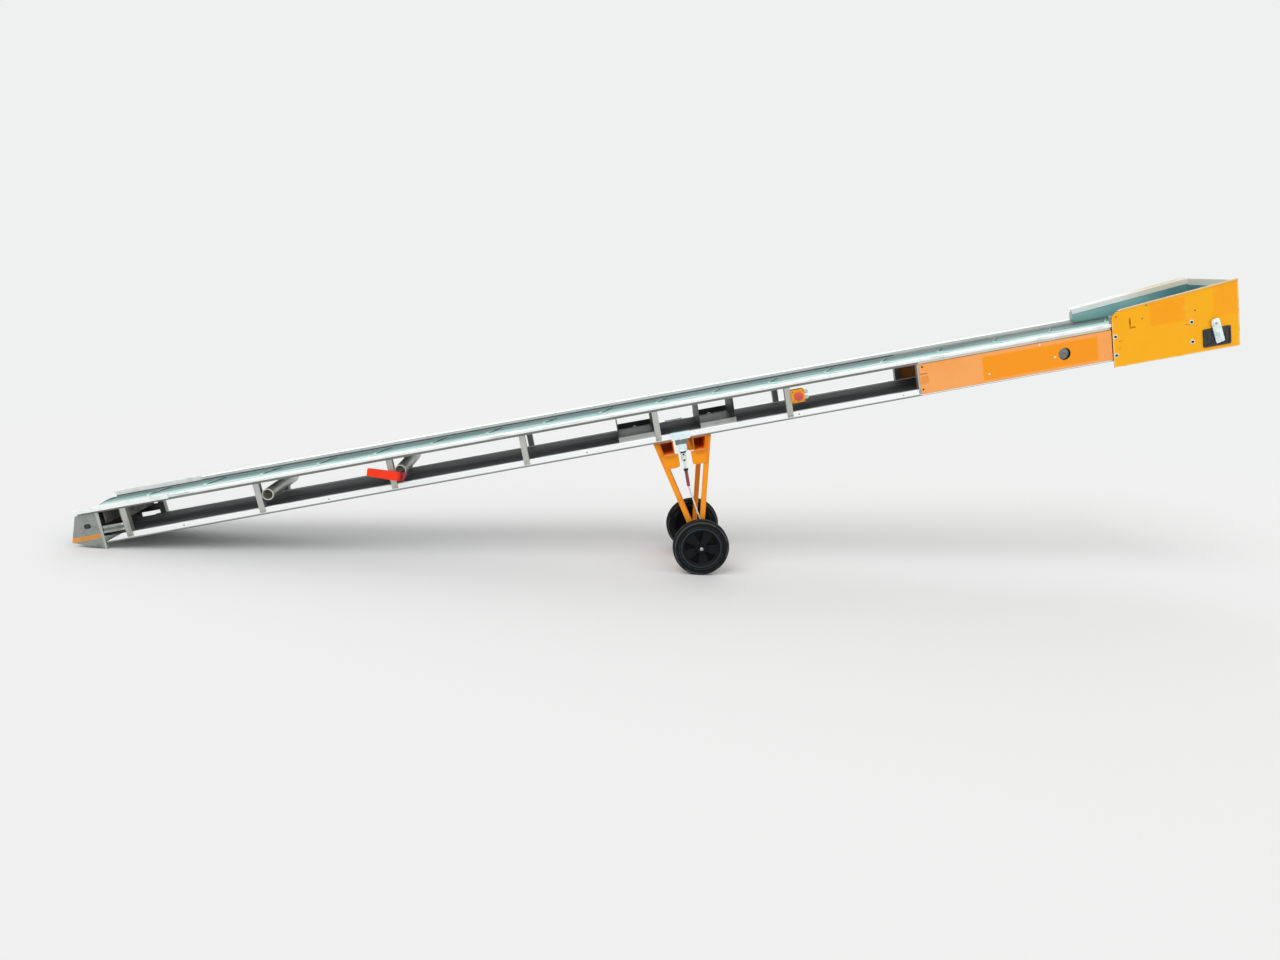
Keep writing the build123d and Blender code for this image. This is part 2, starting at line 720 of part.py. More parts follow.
for name, side in SIDES:
    with BuildPart() as frame:
        for end in (-1, 1):
            with BuildSketch(sheet(side, leg_in, leg_out)):
                with BuildLine():
                    Polyline(
                        (CARRIAGE_U + end * (leg_centre(-LEG_TOP_GAP) - leg_half), -LEG_TOP_GAP),
                        (CARRIAGE_U + end * (leg_centre(-LEG_TOP_GAP) + leg_half), -LEG_TOP_GAP),
                        (CARRIAGE_U + end * (leg_centre(leg_foot) + leg_half), leg_foot),
                        (CARRIAGE_U + end * (leg_centre(leg_foot) - leg_half), leg_foot),
                        close=True,
                    )
                make_face()
            extrude(amount=LEG_DEPTH)
            gusset_low = -BEAM_H - GUSSET_H
            with BuildSketch(sheet(side, leg_out, leg_out + GUSSET_T)):
                with BuildLine():
                    Polyline(
                        (CARRIAGE_U + end * GUSSET_INNER, -BEAM_H),
                        (CARRIAGE_U + end * leg_centre(-BEAM_H), -BEAM_H),
                        (CARRIAGE_U + end * leg_centre(gusset_low), gusset_low),
                        (CARRIAGE_U + end * (GUSSET_INNER + GUSSET_CORNER), gusset_low),
                        (CARRIAGE_U + end * GUSSET_INNER, gusset_low + GUSSET_CORNER),
                        close=True,
                    )
                make_face()
            extrude(amount=GUSSET_T)
    save(frame, f"leg_frame_{name}")

# Cross beams: two folded sections under the chords, open at both ends
beam_half = chord_out - BEAM_SHORT
with BuildPart() as beams:
    with BuildSketch(sheet(FAR, -beam_half, beam_half)):
        for end in (-1, 1):
            for inset, mode in ((0, Mode.ADD), (BEAM_WALL, Mode.SUBTRACT)):
                top = -inset
                low = inset - BEAM_H
                with BuildLine():
                    Polyline(
                        (CARRIAGE_U + end * (BEAM_INNER + inset), top),
                        (CARRIAGE_U + end * (leg_centre(top) - leg_half - GAP - inset), top),
                        (CARRIAGE_U + end * (leg_centre(low) - leg_half - GAP - inset), low),
                        (CARRIAGE_U + end * (BEAM_INNER + inset), low),
                        close=True,
                    )
                make_face(mode=mode)
    extrude(amount=2 * beam_half)
save(beams, "cross_beams")

# Axle beam under the legs, and the axle through it
axle_beam_half = leg_out + AXLE_BEAM_PROUD
with BuildPart() as axle_beam:
    with BuildSketch(sheet(FAR, -axle_beam_half, axle_beam_half)):
        with Locations((CARRIAGE_U, -AXLE_DROP)):
            Rectangle(AXLE_BEAM, AXLE_BEAM)
            Circle(AXLE_D / 2 + FIT, mode=Mode.SUBTRACT)
    extrude(amount=2 * axle_beam_half)
save(axle_beam, "axle_beam")

boss_in = wheel_y - HUB_BOSS_W / 2
boss_out = wheel_y + HUB_BOSS_W / 2
axle_half = boss_out + GAP + NUT_T + AXLE_PROUD
with BuildPart() as axle:
    with BuildSketch(sheet(FAR, -axle_half, axle_half)):
        with Locations((CARRIAGE_U, -AXLE_DROP)):
            Circle(AXLE_D / 2)
    extrude(amount=2 * axle_half)
save(axle, "axle")

# Spacers inside the hubs and nuts outside them
# name, diameter, distance from the middle to its inner and outer face
collars = (
    ("axle_spacers", SPACER_D, axle_beam_half, boss_in - GAP),
    ("axle_nuts", NUT_D, boss_out + GAP, boss_out + GAP + NUT_T),
)
for name, diameter, inner, outer in collars:
    with BuildPart() as collar:
        for side in (NEAR, FAR):
            with BuildSketch(sheet(side, inner, outer)):
                with Locations((CARRIAGE_U, -AXLE_DROP)):
                    Circle(diameter / 2)
                    Circle(AXLE_D / 2 + FIT, mode=Mode.SUBTRACT)
            extrude(amount=outer - inner)
    save(collar, name)

# Clamp saddles over the chords, the near one with a tab down to the latch's top plate
saddle_out = chord_out + SADDLE_T
with BuildPart() as saddles:
    for side in (NEAR, FAR):
        with BuildSketch(sheet(side, chord_out, saddle_out)):
            with Locations((CARRIAGE_U, (CHORD_H + SADDLE_T) / 2)):
                Rectangle(SADDLE_L, CHORD_H + SADDLE_T)
            if side == NEAR:
                with Locations((CARRIAGE_U, -TAB_LOW / 2)):
                    Rectangle(TAB_W, TAB_LOW)
                with Locations((CARRIAGE_U, -(TAB_LOW + LATCH_LOW) / 2)):
                    Rectangle(LATCH_W, LATCH_LOW - TAB_LOW)
        extrude(amount=SADDLE_T)
        with BuildSketch(sheet(side, chord_out - SADDLE_HOOK, chord_out)):
            with Locations((CARRIAGE_U, CHORD_H + SADDLE_T / 2)):
                Rectangle(SADDLE_L, SADDLE_T)
        extrude(amount=SADDLE_HOOK)
save(saddles, "clamp_saddles")

toggle_in = chord_out - TOGGLE_T
toggle_mid = chord_out - TOGGLE_T / 2
arm_low = TOGGLE_LOW + ARM_L
with BuildPart() as toggle:
    with BuildSketch(sheet(NEAR, toggle_in, chord_out)):
        with Locations((CARRIAGE_U, -(TOGGLE_TOP + TOGGLE_LOW) / 2)):
            Rectangle(TOGGLE_W, TOGGLE_LOW - TOGGLE_TOP)
    extrude(amount=TOGGLE_T)
    with BuildSketch(sheet(NEAR, toggle_mid - ARM_T / 2, toggle_mid + ARM_T / 2)):
        with Locations((CARRIAGE_U, -(TOGGLE_LOW + arm_low) / 2)):
            Rectangle(ARM_W, ARM_L)
    extrude(amount=ARM_T)
save(toggle, "toggle_clamp")

with BuildPart() as grip:
    with BuildSketch(layer(-arm_low - GRIP_L, NEAR, CARRIAGE_U, toggle_mid)):
        Circle(GRIP_D / 2)
    extrude(amount=GRIP_L)
    fillet(grip.faces().filter_by(GeomType.PLANE).edges(), GRIP_ROUND)
save(grip, "clamp_grip")

# Rod from the grip down to an eye on the rear leg
eye_u = CARRIAGE_U + leg_centre(-ROD_LOW)
rod_out = leg_out + GAP + ROD_D / 2
start = Vector(*at(CARRIAGE_U, NEAR * toggle_mid, -arm_low - GRIP_L - ROD_CLEAR))
finish = Vector(*at(eye_u, NEAR * rod_out, -ROD_LOW))
with BuildPart() as rod:
    with BuildSketch(Plane(origin=start, z_dir=finish - start)):
        Circle(ROD_D / 2)
    extrude(amount=(finish - start).length)
    with BuildSketch(sheet(NEAR, leg_out, leg_out + GAP + ROD_D)):
        with Locations((eye_u, -ROD_LOW)):
            Circle(EYE_D / 2)
    extrude(amount=GAP + ROD_D)
save(rod, "release_rod")

# Wheels: a solid tyre on a spoked hub
for name, side in SIDES:
    centre = at(CARRIAGE_U, side * wheel_y, -AXLE_DROP)
    spin = Axis(centre, (0, 1, 0))
    radial = Plane(origin=centre, x_dir=U_DIR, z_dir=W_DIR)
    with BuildPart() as tyre:
        with BuildSketch(radial) as section:
            with Locations(((TYRE_D + TYRE_BORE_D) / 4, 0)):
                Rectangle((TYRE_D - TYRE_BORE_D) / 2, TYRE_W)
            fillet(section.vertices().group_by(Axis.X)[-1], TYRE_ROUND)
        revolve(axis=spin)
    save(tyre, f"tyre_{name}")

    hub_out = TYRE_BORE_D / 2 - GAP
    rim_in = hub_out - HUB_RIM_T
    bore = AXLE_D / 2 + FIT
    face = wheel_y + HUB_RIM_W / 2
    with BuildPart() as hub:
        with BuildSketch(radial):
            with Locations(((rim_in + hub_out) / 2, 0)):
                Rectangle(HUB_RIM_T, HUB_RIM_W)
            with Locations(((bore + rim_in) / 2, side * (HUB_RIM_W - HUB_FACE_T) / 2)):
                Rectangle(rim_in - bore, HUB_FACE_T)
            with Locations(((bore + HUB_BOSS_D / 2) / 2, 0)):
                Rectangle(HUB_BOSS_D / 2 - bore, HUB_BOSS_W)
        revolve(axis=spin)
        r_in = HUB_BOSS_D / 2 + POCKET_MARGIN
        r_out = rim_in - POCKET_MARGIN
        with BuildSketch(outward(side, face, CARRIAGE_U, -AXLE_DROP)):
            for k in range(POCKET_COUNT):
                mid = 90 + k * 360 / POCKET_COUNT
                # radius and angle of the pocket's corners
                polar = ((r_in, -POCKET_HALF / 2), (r_out, -POCKET_HALF), (r_out, 0), (r_out, POCKET_HALF), (r_in, POCKET_HALF / 2))
                corners = [(r * cos(radians(mid + a)), r * sin(radians(mid + a))) for r, a in polar]
                with BuildLine():
                    Line(corners[0], corners[1])
                    ThreePointArc(corners[1], corners[2], corners[3])
                    Line(corners[3], corners[4])
                    Line(corners[4], corners[0])
                make_face()
        extrude(amount=-POCKET_DEPTH, mode=Mode.SUBTRACT)
    save(hub, f"hub_{name}")

# Stop switch on the sixth post of the near side
switch_u = post_centres[5] + POST_W / 2 + GAP
switch_out = chord_out + SWITCH_PROUD
switch_in = switch_out - SWITCH_T
switch_mid = (switch_u + SWITCH_L / 2, SWITCH_LOW + SWITCH_H / 2)
with BuildPart() as switch_box:
    with BuildSketch(sheet(NEAR, switch_in, switch_out)):
        with Locations(switch_mid):
            RectangleRounded(SWITCH_L, SWITCH_H, SWITCH_ROUND)
    extrude(amount=SWITCH_T)
save(switch_box, "stop_switch_box")

with BuildPart() as button:
    with BuildSketch(sheet(NEAR, switch_out, switch_out + COLLAR_T)):
        with Locations(switch_mid):
            Circle(COLLAR_D / 2)
    extrude(amount=COLLAR_T)
    with BuildSketch(sheet(NEAR, switch_out + COLLAR_T, switch_out + COLLAR_T + BUTTON_T)):
        with Locations(switch_mid):
            Circle(BUTTON_D / 2)
    extrude(amount=BUTTON_T)
save(button, "stop_button")

with BuildPart() as glands:
    for lift in (-GLAND_LIFT, GLAND_LIFT):
        gland_y = switch_out - SWITCH_T / 2
        with BuildSketch(station(switch_u + SWITCH_L)):
            with Locations((NEAR * gland_y, switch_mid[1] + lift)):
                Circle(GLAND_D / 2)
        extrude(amount=GLAND_L)
save(glands, "cable_glands")

# Red hand lever pinned to the third post of the near side, its upper end bevelled
pivot = (post_centres[2], LEVER_HEIGHT)
lever_in = lap_out + LEVER_STANDOFF
with BuildPart() as lever:
    with BuildSketch(sheet(NEAR, lap_out, lever_in)):
        with Locations(pivot):
            Circle(LEVER_PIN_D / 2)
    extrude(amount=LEVER_STANDOFF)
    with BuildSketch(sheet(NEAR, lever_in, lever_in + LEVER_T)):
        with Locations(Location(pivot, LEVER_TILT)):
            Polygon(
                (-LEVER_PIVOT, -LEVER_W / 2),
                (LEVER_L - LEVER_PIVOT - LEVER_SLANT, -LEVER_W_END / 2),
                (LEVER_L - LEVER_PIVOT, LEVER_W_END / 2),
                (-LEVER_PIVOT, LEVER_W / 2),
                align=None,
            )
    extrude(amount=LEVER_T)
    outer = lever.faces().sort_by(Axis.Y)[0]
    upper_end = outer.edges().sort_by(Axis.X)[-1]
    chamfer(upper_end, LEVER_BEVEL, LEVER_BEVEL_T, reference=outer)
save(lever, "hand_lever")
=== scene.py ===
"""Dressed model of a mobile belt conveyor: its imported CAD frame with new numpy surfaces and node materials.
Lengths in the shape functions are millimetres along the frame (u), across it (y) and square to it (w)."""

import json
from math import cos, radians, sin

import bmesh
import bpy
import numpy as np
from mathutils import Matrix


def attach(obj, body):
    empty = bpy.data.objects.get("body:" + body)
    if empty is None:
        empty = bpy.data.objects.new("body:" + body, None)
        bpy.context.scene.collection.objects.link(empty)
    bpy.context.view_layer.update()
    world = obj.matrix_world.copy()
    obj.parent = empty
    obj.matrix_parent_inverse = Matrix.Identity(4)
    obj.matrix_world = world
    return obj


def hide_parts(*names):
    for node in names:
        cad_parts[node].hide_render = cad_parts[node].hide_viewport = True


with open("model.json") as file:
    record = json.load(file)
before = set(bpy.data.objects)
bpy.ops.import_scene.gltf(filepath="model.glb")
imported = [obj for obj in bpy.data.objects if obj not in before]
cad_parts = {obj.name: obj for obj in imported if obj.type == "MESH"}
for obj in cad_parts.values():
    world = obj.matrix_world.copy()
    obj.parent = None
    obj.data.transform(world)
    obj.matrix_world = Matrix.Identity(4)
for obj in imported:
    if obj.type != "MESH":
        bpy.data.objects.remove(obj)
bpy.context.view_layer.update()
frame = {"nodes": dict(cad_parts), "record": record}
nodes = frame["nodes"]

# The frame's directions come from the two carrying tubes, which are the record's mounts.
TUBE_U, TUBE_W = 962.3, 100.0
mounts = {m["name"]: np.array(m["pos_m"], float) for m in frame["record"]["mounts"]}
low_tube, high_tube = mounts["carrying_tube_low"], mounts["carrying_tube_high"]
U_DIR = (high_tube - low_tube) / np.linalg.norm(high_tube - low_tube)
Y_DIR = np.array([0.0, 1.0, 0.0])
W_DIR = np.cross(U_DIR, Y_DIR)
ORIGIN = low_tube - (TUBE_U * U_DIR + TUBE_W * W_DIR) / 1000
SLOPE = float(np.arctan2(U_DIR[2], U_DIR[0]))
NEAR, FAR = -1, 1
SIDES = (("near", NEAR), ("far", FAR))

# Sizes repeated from the CAD source. A name that ends in U, Y or W is a place along that direction, and one
# that ends in FACE is a distance from the middle plane.
POSTS_U = 231.0 + 686.0 * np.arange(9)
DISCHARGE_U, FEED_U, DRUM_W = 33.0, 5880.0, 102.0
BELT_OUT, BELT_T, BELT_HALF = 70.3, 3.0, 180.0
HOPPER_FRONT, HOPPER_END, HOPPER_TOP, HOPPER_RISE = 5343.0, 5997.0, 247.0, 56.0 / 658.0
COVER_LOW, COVER_HIGH, COVER_HOLE = 4341, 5340, (5093, 84, 31)
CHORD_FACE, POST_FACE, COVER_FACE, HOPPER_FACE = 213, 217, 220, 224
CARRIAGE_U, AXLE_W, WHEEL_Y = 3094.0, -579.0, 236.0
AXLE, AXLE_DROP = (CARRIAGE_U, AXLE_W), -AXLE_W
# A leg's centre line stands LEG_AT_AXLE from the middle at the axle, LEG_SPREAD further out at w = 0
LEG_AT_AXLE, LEG_SPREAD, LEG_TUBE_HALF = 5.0, 134.0, 13.0
ROLLER_FIRST, ROLLER_PITCH, ROLLER_W = 574.0, 1372.0, 16.4
TUBES_U = (962.3, 1648.3)
LEVER_U, LEVER_W, LEVER_TILT = 1603.0, 87.0, -19.0
BAR_TILT = 12.0

# Points closer than this many metres become one, and edges bent by more than this angle stay sharp
MERGE_M, CREASE = 2e-6, radians(32.0)
# No weld runs along this direction, so it can orient the section of each
SKEW = (0.31, 0.52, 0.79)
WELD_STEP, WELD_RIPPLE = 1.6, 5.0


def place(u, y, w):
    """A point of the resting conveyor in metres: the origin plus u, y and w along their directions."""
    u, y, w = np.broadcast_arrays(np.asarray(u, float), y, w)
    return ORIGIN + (u[..., None] * U_DIR + y[..., None] * Y_DIR + w[..., None] * W_DIR) / 1000


def view_plane(side, u=0.0, w=0.0, turn=0.0, out=0.0):
    """Side view of one side: a along the frame, b square to it, both turned by turn degrees, and h outwards
    from out."""
    c, s = cos(radians(turn)), sin(radians(turn))
    return ((u, side * out, w), (c, 0, s), (-s, 0, c), (0, side, 0))


def cross_plane(side=FAR, u=0.0, y=0.0, w=0.0):
    """Cross-section of the frame: a outwards to one side, b square to the frame, h along it."""
    return ((u, y, w), (0, side, 0), (0, 0, 1), (1, 0, 0))


def level_plane(u, y, w, up=1):
    """Seen from above, or from below where up is -1: a along the frame, b across it, h square to it."""
    return ((u, y, w), (1, 0, 0), (0, 1, 0), (0, 0, up))


def lifted(plane, a, b):
    """The same plane with its origin moved by a and b along it."""
    origin, along, up, out = (np.array(v, float) for v in plane)
    return (origin + a * along + b * up, along, up, out)


def lay(plane, a, b, h):
    """Points at a, b and h of a plane given by its origin and three directions in u, y and w."""
    origin, along, up, out = (np.array(v, float) for v in plane)
    a, b, h = np.broadcast_arrays(np.asarray(a, float), b, h)
    uyw = origin + a[..., None] * along + b[..., None] * up + h[..., None] * out
    return place(uyw[..., 0], uyw[..., 1], uyw[..., 2])


def make(name, grids, finish, body="conveyor", stands_for=()):
    """One mesh from grids of points. Neighbours in a grid span a square, seams and poles are merged,
    the faces turn outwards, and sharp edges stay sharp."""
    corners, squares, start = [], [], 0
    for grid in grids:
        rows, cols = grid.shape[:2]
        number = start + np.arange(rows * cols).reshape(rows, cols)
        quad = np.stack([number[:-1, :-1], number[:-1, 1:], number[1:, 1:], number[1:, :-1]], -1)
        corners.append(grid.reshape(-1, 3))
        squares.append(quad.reshape(-1, 4))
        start += rows * cols
    mesh = bpy.data.meshes.new(name)
    mesh.from_pydata(np.concatenate(corners).tolist(), [], np.concatenate(squares).tolist())
    work = bmesh.new()
    work.from_mesh(mesh)
    bmesh.ops.remove_doubles(work, verts=work.verts, dist=MERGE_M)
    bmesh.ops.recalc_face_normals(work, faces=work.faces)
    work.to_mesh(mesh)
    work.free()
    mesh.polygons.foreach_set("use_smooth", np.ones(len(mesh.polygons), bool))
    mesh.set_sharp_from_angle(angle=CREASE)
    mesh.materials.append(finish)
    piece = bpy.data.objects.new(name, mesh)
    bpy.context.scene.collection.objects.link(piece)
    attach(piece, body)
    if stands_for:
        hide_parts(*stands_for)


# Shapes


def mitres(line, closed):
    """Outward normal at each point of a line, long enough to keep an offset's width round its corners."""
    if closed:
        before, after = line - np.roll(line, 1, 0), np.roll(line, -1, 0) - line
    else:
        step = np.diff(line, axis=0)
        before, after = np.vstack([step[:1], step]), np.vstack([step, step[-1:]])
    before = before / np.linalg.norm(before, axis=1, keepdims=True)
    after = after / np.linalg.norm(after, axis=1, keepdims=True)
    normal = np.stack([(before + after)[:, 1], -(before + after)[:, 0]], 1)
    return normal / (1 + np.sum(before * after, 1, keepdims=True))


def rounded(corners, radius, steps=5):
    """A closed outline, its corners replaced by arcs: quadratic blends between the points where the arc
    starts and ends on the two sides."""
    p = np.asarray(corners, float)
    radius = np.broadcast_to(np.asarray(radius, float), len(p))[:, None, None]
    back, on = np.roll(p, 1, 0) - p, np.roll(p, -1, 0) - p
    back = (back / np.linalg.norm(back, axis=1, keepdims=True))[:, None]
    on = (on / np.linalg.norm(on, axis=1, keepdims=True))[:, None]
    t = np.linspace(0, 1, steps)[None, :, None]
    # Pulled 4% towards the corner in its middle, the blend comes close to a circle's arc
    pull = 1 - 0.16 * t * (1 - t)
    arc = p[:, None] + radius * (back * (1 - t) ** 2 + on * t**2) * pull
    return arc.reshape(-1, 2)


def box(length, height, radius=0.0, a=0.0, b=0.0, steps=5):
    """Rectangle outline about a, b with rounded corners."""
    x, y = length / 2, height / 2
    corners = [(a - x, b - y), (a + x, b - y), (a + x, b + y), (a - x, b + y)]
    return rounded(corners, radius, steps) if radius else np.array(corners, float)


def ring(radius, count=32, start=0.0):
    """Circle outline, or a polygon where count is small, with its first corner at start degrees."""
    t = radians(start) + 2 * np.pi * np.arange(count) / count
    return np.stack([radius * np.cos(t), radius * np.sin(t)], 1)


def slab(outline, inner, outer, plane, soft=1.0, steps=4):
    """A plate between two heights: its outline draws in along a quarter circle of radius soft towards each
    face, and each face closes in its middle."""
    outline = np.asarray(outline, float)
    normal = mitres(outline, True)
    t = np.linspace(0, np.pi / 2, steps)
    inset = soft * (1 - np.cos(t))
    rise = soft * np.sin(t)
    insets = np.concatenate([inset[::-1], inset])
    heights = np.concatenate([inner + soft - rise[::-1], outer - soft + rise])
    loop = np.vstack([outline, outline[:1]])
    normal = np.vstack([normal, normal[:1]])
    body = loop[None] - insets[:, None, None] * normal[None]
    pole = np.broadcast_to(outline.mean(0), (1, len(loop), 2))
    flat = np.concatenate([pole, body, pole])
    heights = np.concatenate([[inner], heights, [outer]])
    return lay(plane, flat[..., 0], flat[..., 1], heights[:, None])


def pierced(low, high, hole, inner, outer, plane, soft=1.0, count=96):
    """A rectangular plate with a round hole. Rays from the hole's middle meet the rectangle at the nearer
    of its sides, and each row is one turn of them: the hole's edge, the inner face, the outline, and back
    over the outer face."""
    a, b, radius = hole
    corners = [np.arctan2(y - b, x - a) % (2 * np.pi) for x in (low[0], high[0]) for y in (low[1], high[1])]
    # A small angle keeps every ray off the axes, where one of its parts would be 0
    start = 1e-3
    turn = np.sort(np.concatenate([2 * np.pi * np.arange(count) / count + start, corners]))
    turn = np.append(turn, turn[0])
    ray = np.stack([np.cos(turn), np.sin(turn)], 1)
    sides = np.where(ray > 0, np.array(high, float), np.array(low, float)) - (a, b)
    edge = ray * np.min(sides / ray, axis=1, keepdims=True) + (a, b)
    drawn = np.clip(edge, np.array(low) + soft, np.array(high) - soft)
    circle, wide = ray * radius + (a, b), ray * (radius + soft) + (a, b)
    flat = np.stack([wide, circle, circle, edge, edge, drawn, wide])
    heights = np.array([outer, outer - soft, inner, inner, outer - soft, outer, outer])[:, None]
    return lay(plane, flat[..., 0], flat[..., 1], heights)


def turned(profile, plane, turns=48):
    """Profile points (height, radius) turned about the plane's h direction."""
    profile = np.asarray(profile, float)
    t = np.linspace(0, 2 * np.pi, turns + 1)
    h, r = profile[:, :1], profile[:, 1:]
    return lay(plane, r * np.cos(t), r * np.sin(t), h)


def folded(line, thickness, start, end, plane):
    """A bent sheet: a line in a, b with its thickness to the right of it, carried from height start to end.
    Each row goes once round the sheet, and the line's two ends close in the sheet's middle."""
    line = np.asarray(line, float)
    normal = mitres(line, False)
    start = np.broadcast_to(np.asarray(start, float), len(line))
    end = np.broadcast_to(np.asarray(end, float), len(line))
    across = np.array([0, 0, 1, 1, 0.0])[None]
    along = np.array([0, 1, 1, 0, 0.0])[None]
    flat = line[:, None] + across[..., None] * thickness * normal[:, None]
    height = start[:, None] * (1 - along) + end[:, None] * along
    first, last = (np.broadcast_to(flat[i, :4].mean(0), (1, 5, 2)) for i in (0, -1))
    flat = np.concatenate([first, flat, last])
    mid = (start + end) / 2
    height = np.concatenate([np.full((1, 5), mid[0]), height, np.full((1, 5), mid[-1])])
    return lay(plane, flat[..., 0], flat[..., 1], height)


def carried(section, path, up=(0, 0, 1), swell=None):
    """A closed section (side, up) carried along a path of u, y, w points, square to it, with closed ends.
    Its size follows swell along the path."""
    path = np.asarray(path, float)
    section = np.asarray(section, float)
    tangent = np.gradient(path, axis=0)
    tangent /= np.linalg.norm(tangent, axis=1, keepdims=True)
    side = np.cross(tangent, np.array(up, float))
    side /= np.linalg.norm(side, axis=1, keepdims=True)
    top = np.cross(side, tangent)
    loop = np.vstack([section, section[:1]])
    size = np.ones(len(path)) if swell is None else np.asarray(swell, float)
    loop = loop[None] * size[:, None, None]
    body = path[:, None] + loop[..., :1] * side[:, None] + loop[..., 1:] * top[:, None]
    ends = [np.broadcast_to(path[i], (1, body.shape[1], 3)) for i in (0, -1)]
    grid = np.concatenate([ends[0], body, ends[1]])
    return place(grid[..., 0], grid[..., 1], grid[..., 2])


def smooth_path(points, count=24):
    """A curve close to the given points: straight steps, rounded by averaging with the neighbours."""
    points = np.asarray(points, float)
    travel = np.concatenate([[0], np.cumsum(np.linalg.norm(np.diff(points, axis=0), axis=1))])
    t = np.linspace(0, travel[-1], count)
    path = np.stack([np.interp(t, travel, points[:, i]) for i in range(3)], 1)
    for _ in range(3):
        path[1:-1] = (path[:-2] + 2 * path[1:-1] + path[2:]) / 4
    return path


def weld(start, end, radius=2.6):
    """A fillet weld: a thin round bead from start to end. Its thickness ripples by a sine of length
    WELD_RIPPLE and falls off at both ends."""
    start, end = np.array(start, float), np.array(end, float)
    length = np.linalg.norm(end - start)
    t = np.linspace(0, 1, max(int(length / WELD_STEP), 4))[:, None]
    ripple = 1 + 0.14 * np.sin(2 * np.pi * t[:, 0] * length / WELD_RIPPLE)
    tapered = 0.6 * (np.abs(t[:, 0] - 0.5) > 0.485)
    return carried(ring(radius, 8), start * (1 - t) + end * t, up=SKEW, swell=ripple - tapered)


def sleeve(outer, inner, low, high, plane, soft=0.8):
    """A tube between two heights, its wall lying between two outlines with equally many points: up the outer
    one, over the rounded end, down the inner one, and back."""
    outer, inner = (np.vstack([line, line[:1]]) for line in (outer, inner))
    share = min(soft / np.linalg.norm(outer - inner, axis=1).min(), 0.45)
    out_in, in_out = outer + (inner - outer) * share, inner + (outer - inner) * share
    flat = np.stack([outer, outer, out_in, in_out, inner, inner, in_out, out_in, outer])
    heights = [low + soft, high - soft, high, high, high - soft, low + soft, low, low, low + soft]
    return lay(plane, flat[..., 0], flat[..., 1], np.array(heights)[:, None])


def lathe_ring(radius, thick, plane, count=10, turns=28):
    """A torus: a small circle carried round a larger one."""
    t = np.linspace(0, 2 * np.pi, count + 1)
    return turned(np.stack([thick * np.sin(t), radius + thick * np.cos(t)], 1), plane, turns)


def dome(radius, height, base=0.0, steps=6):
    """Profile of a button head standing on base: a quarter of an ellipse."""
    t = np.linspace(0, np.pi / 2, steps)
    edge = np.stack([base + height * np.sin(t), radius * np.cos(t)], 1)
    return np.vstack([[(base, 0)], edge])


def bolt(plane, across, height, washer=0.0, washer_t=1.5, base=0.0):
    """Hexagon head with a chamfered top on a round washer, standing on the plane at base."""
    grids, foot = [], base
    if washer:
        foot = base + washer_t
        rim = [(base, 0), (base, washer), (foot - 0.5, washer), (foot, washer - 0.6), (foot, 0)]
        grids.append(turned(rim, plane, 28))
    head = ring(across / 2 / cos(radians(30)), 6, start=20.0)
    grids.append(slab(head, foot, height, plane, soft=min(1.6, across / 10), steps=3))
    return grids


# Materials


def tint(code):
    """An sRGB hex colour as linear red, green, blue and alpha."""
    parts = np.array([int(code[i:i + 2], 16) for i in (1, 3, 5)]) / 255
    linear = np.where(parts <= 0.04045, parts / 12.92, ((parts + 0.055) / 1.055) ** 2.4)
    return (*linear.tolist(), 1.0)


def add(tree, kind, feeds=None, **settings):
    """Adds a shader node to a tree, sets its properties, sets or links its sockets by name or number, and
    returns its outputs."""
    made = tree.nodes.new("ShaderNode" + kind)
    for key, value in settings.items():
        setattr(made, key, value)
    for key, value in (feeds or {}).items():
        if isinstance(value, bpy.types.NodeSocket):
            tree.links.new(value, made.inputs[key])
        else:
            made.inputs[key].default_value = value
    return made.outputs


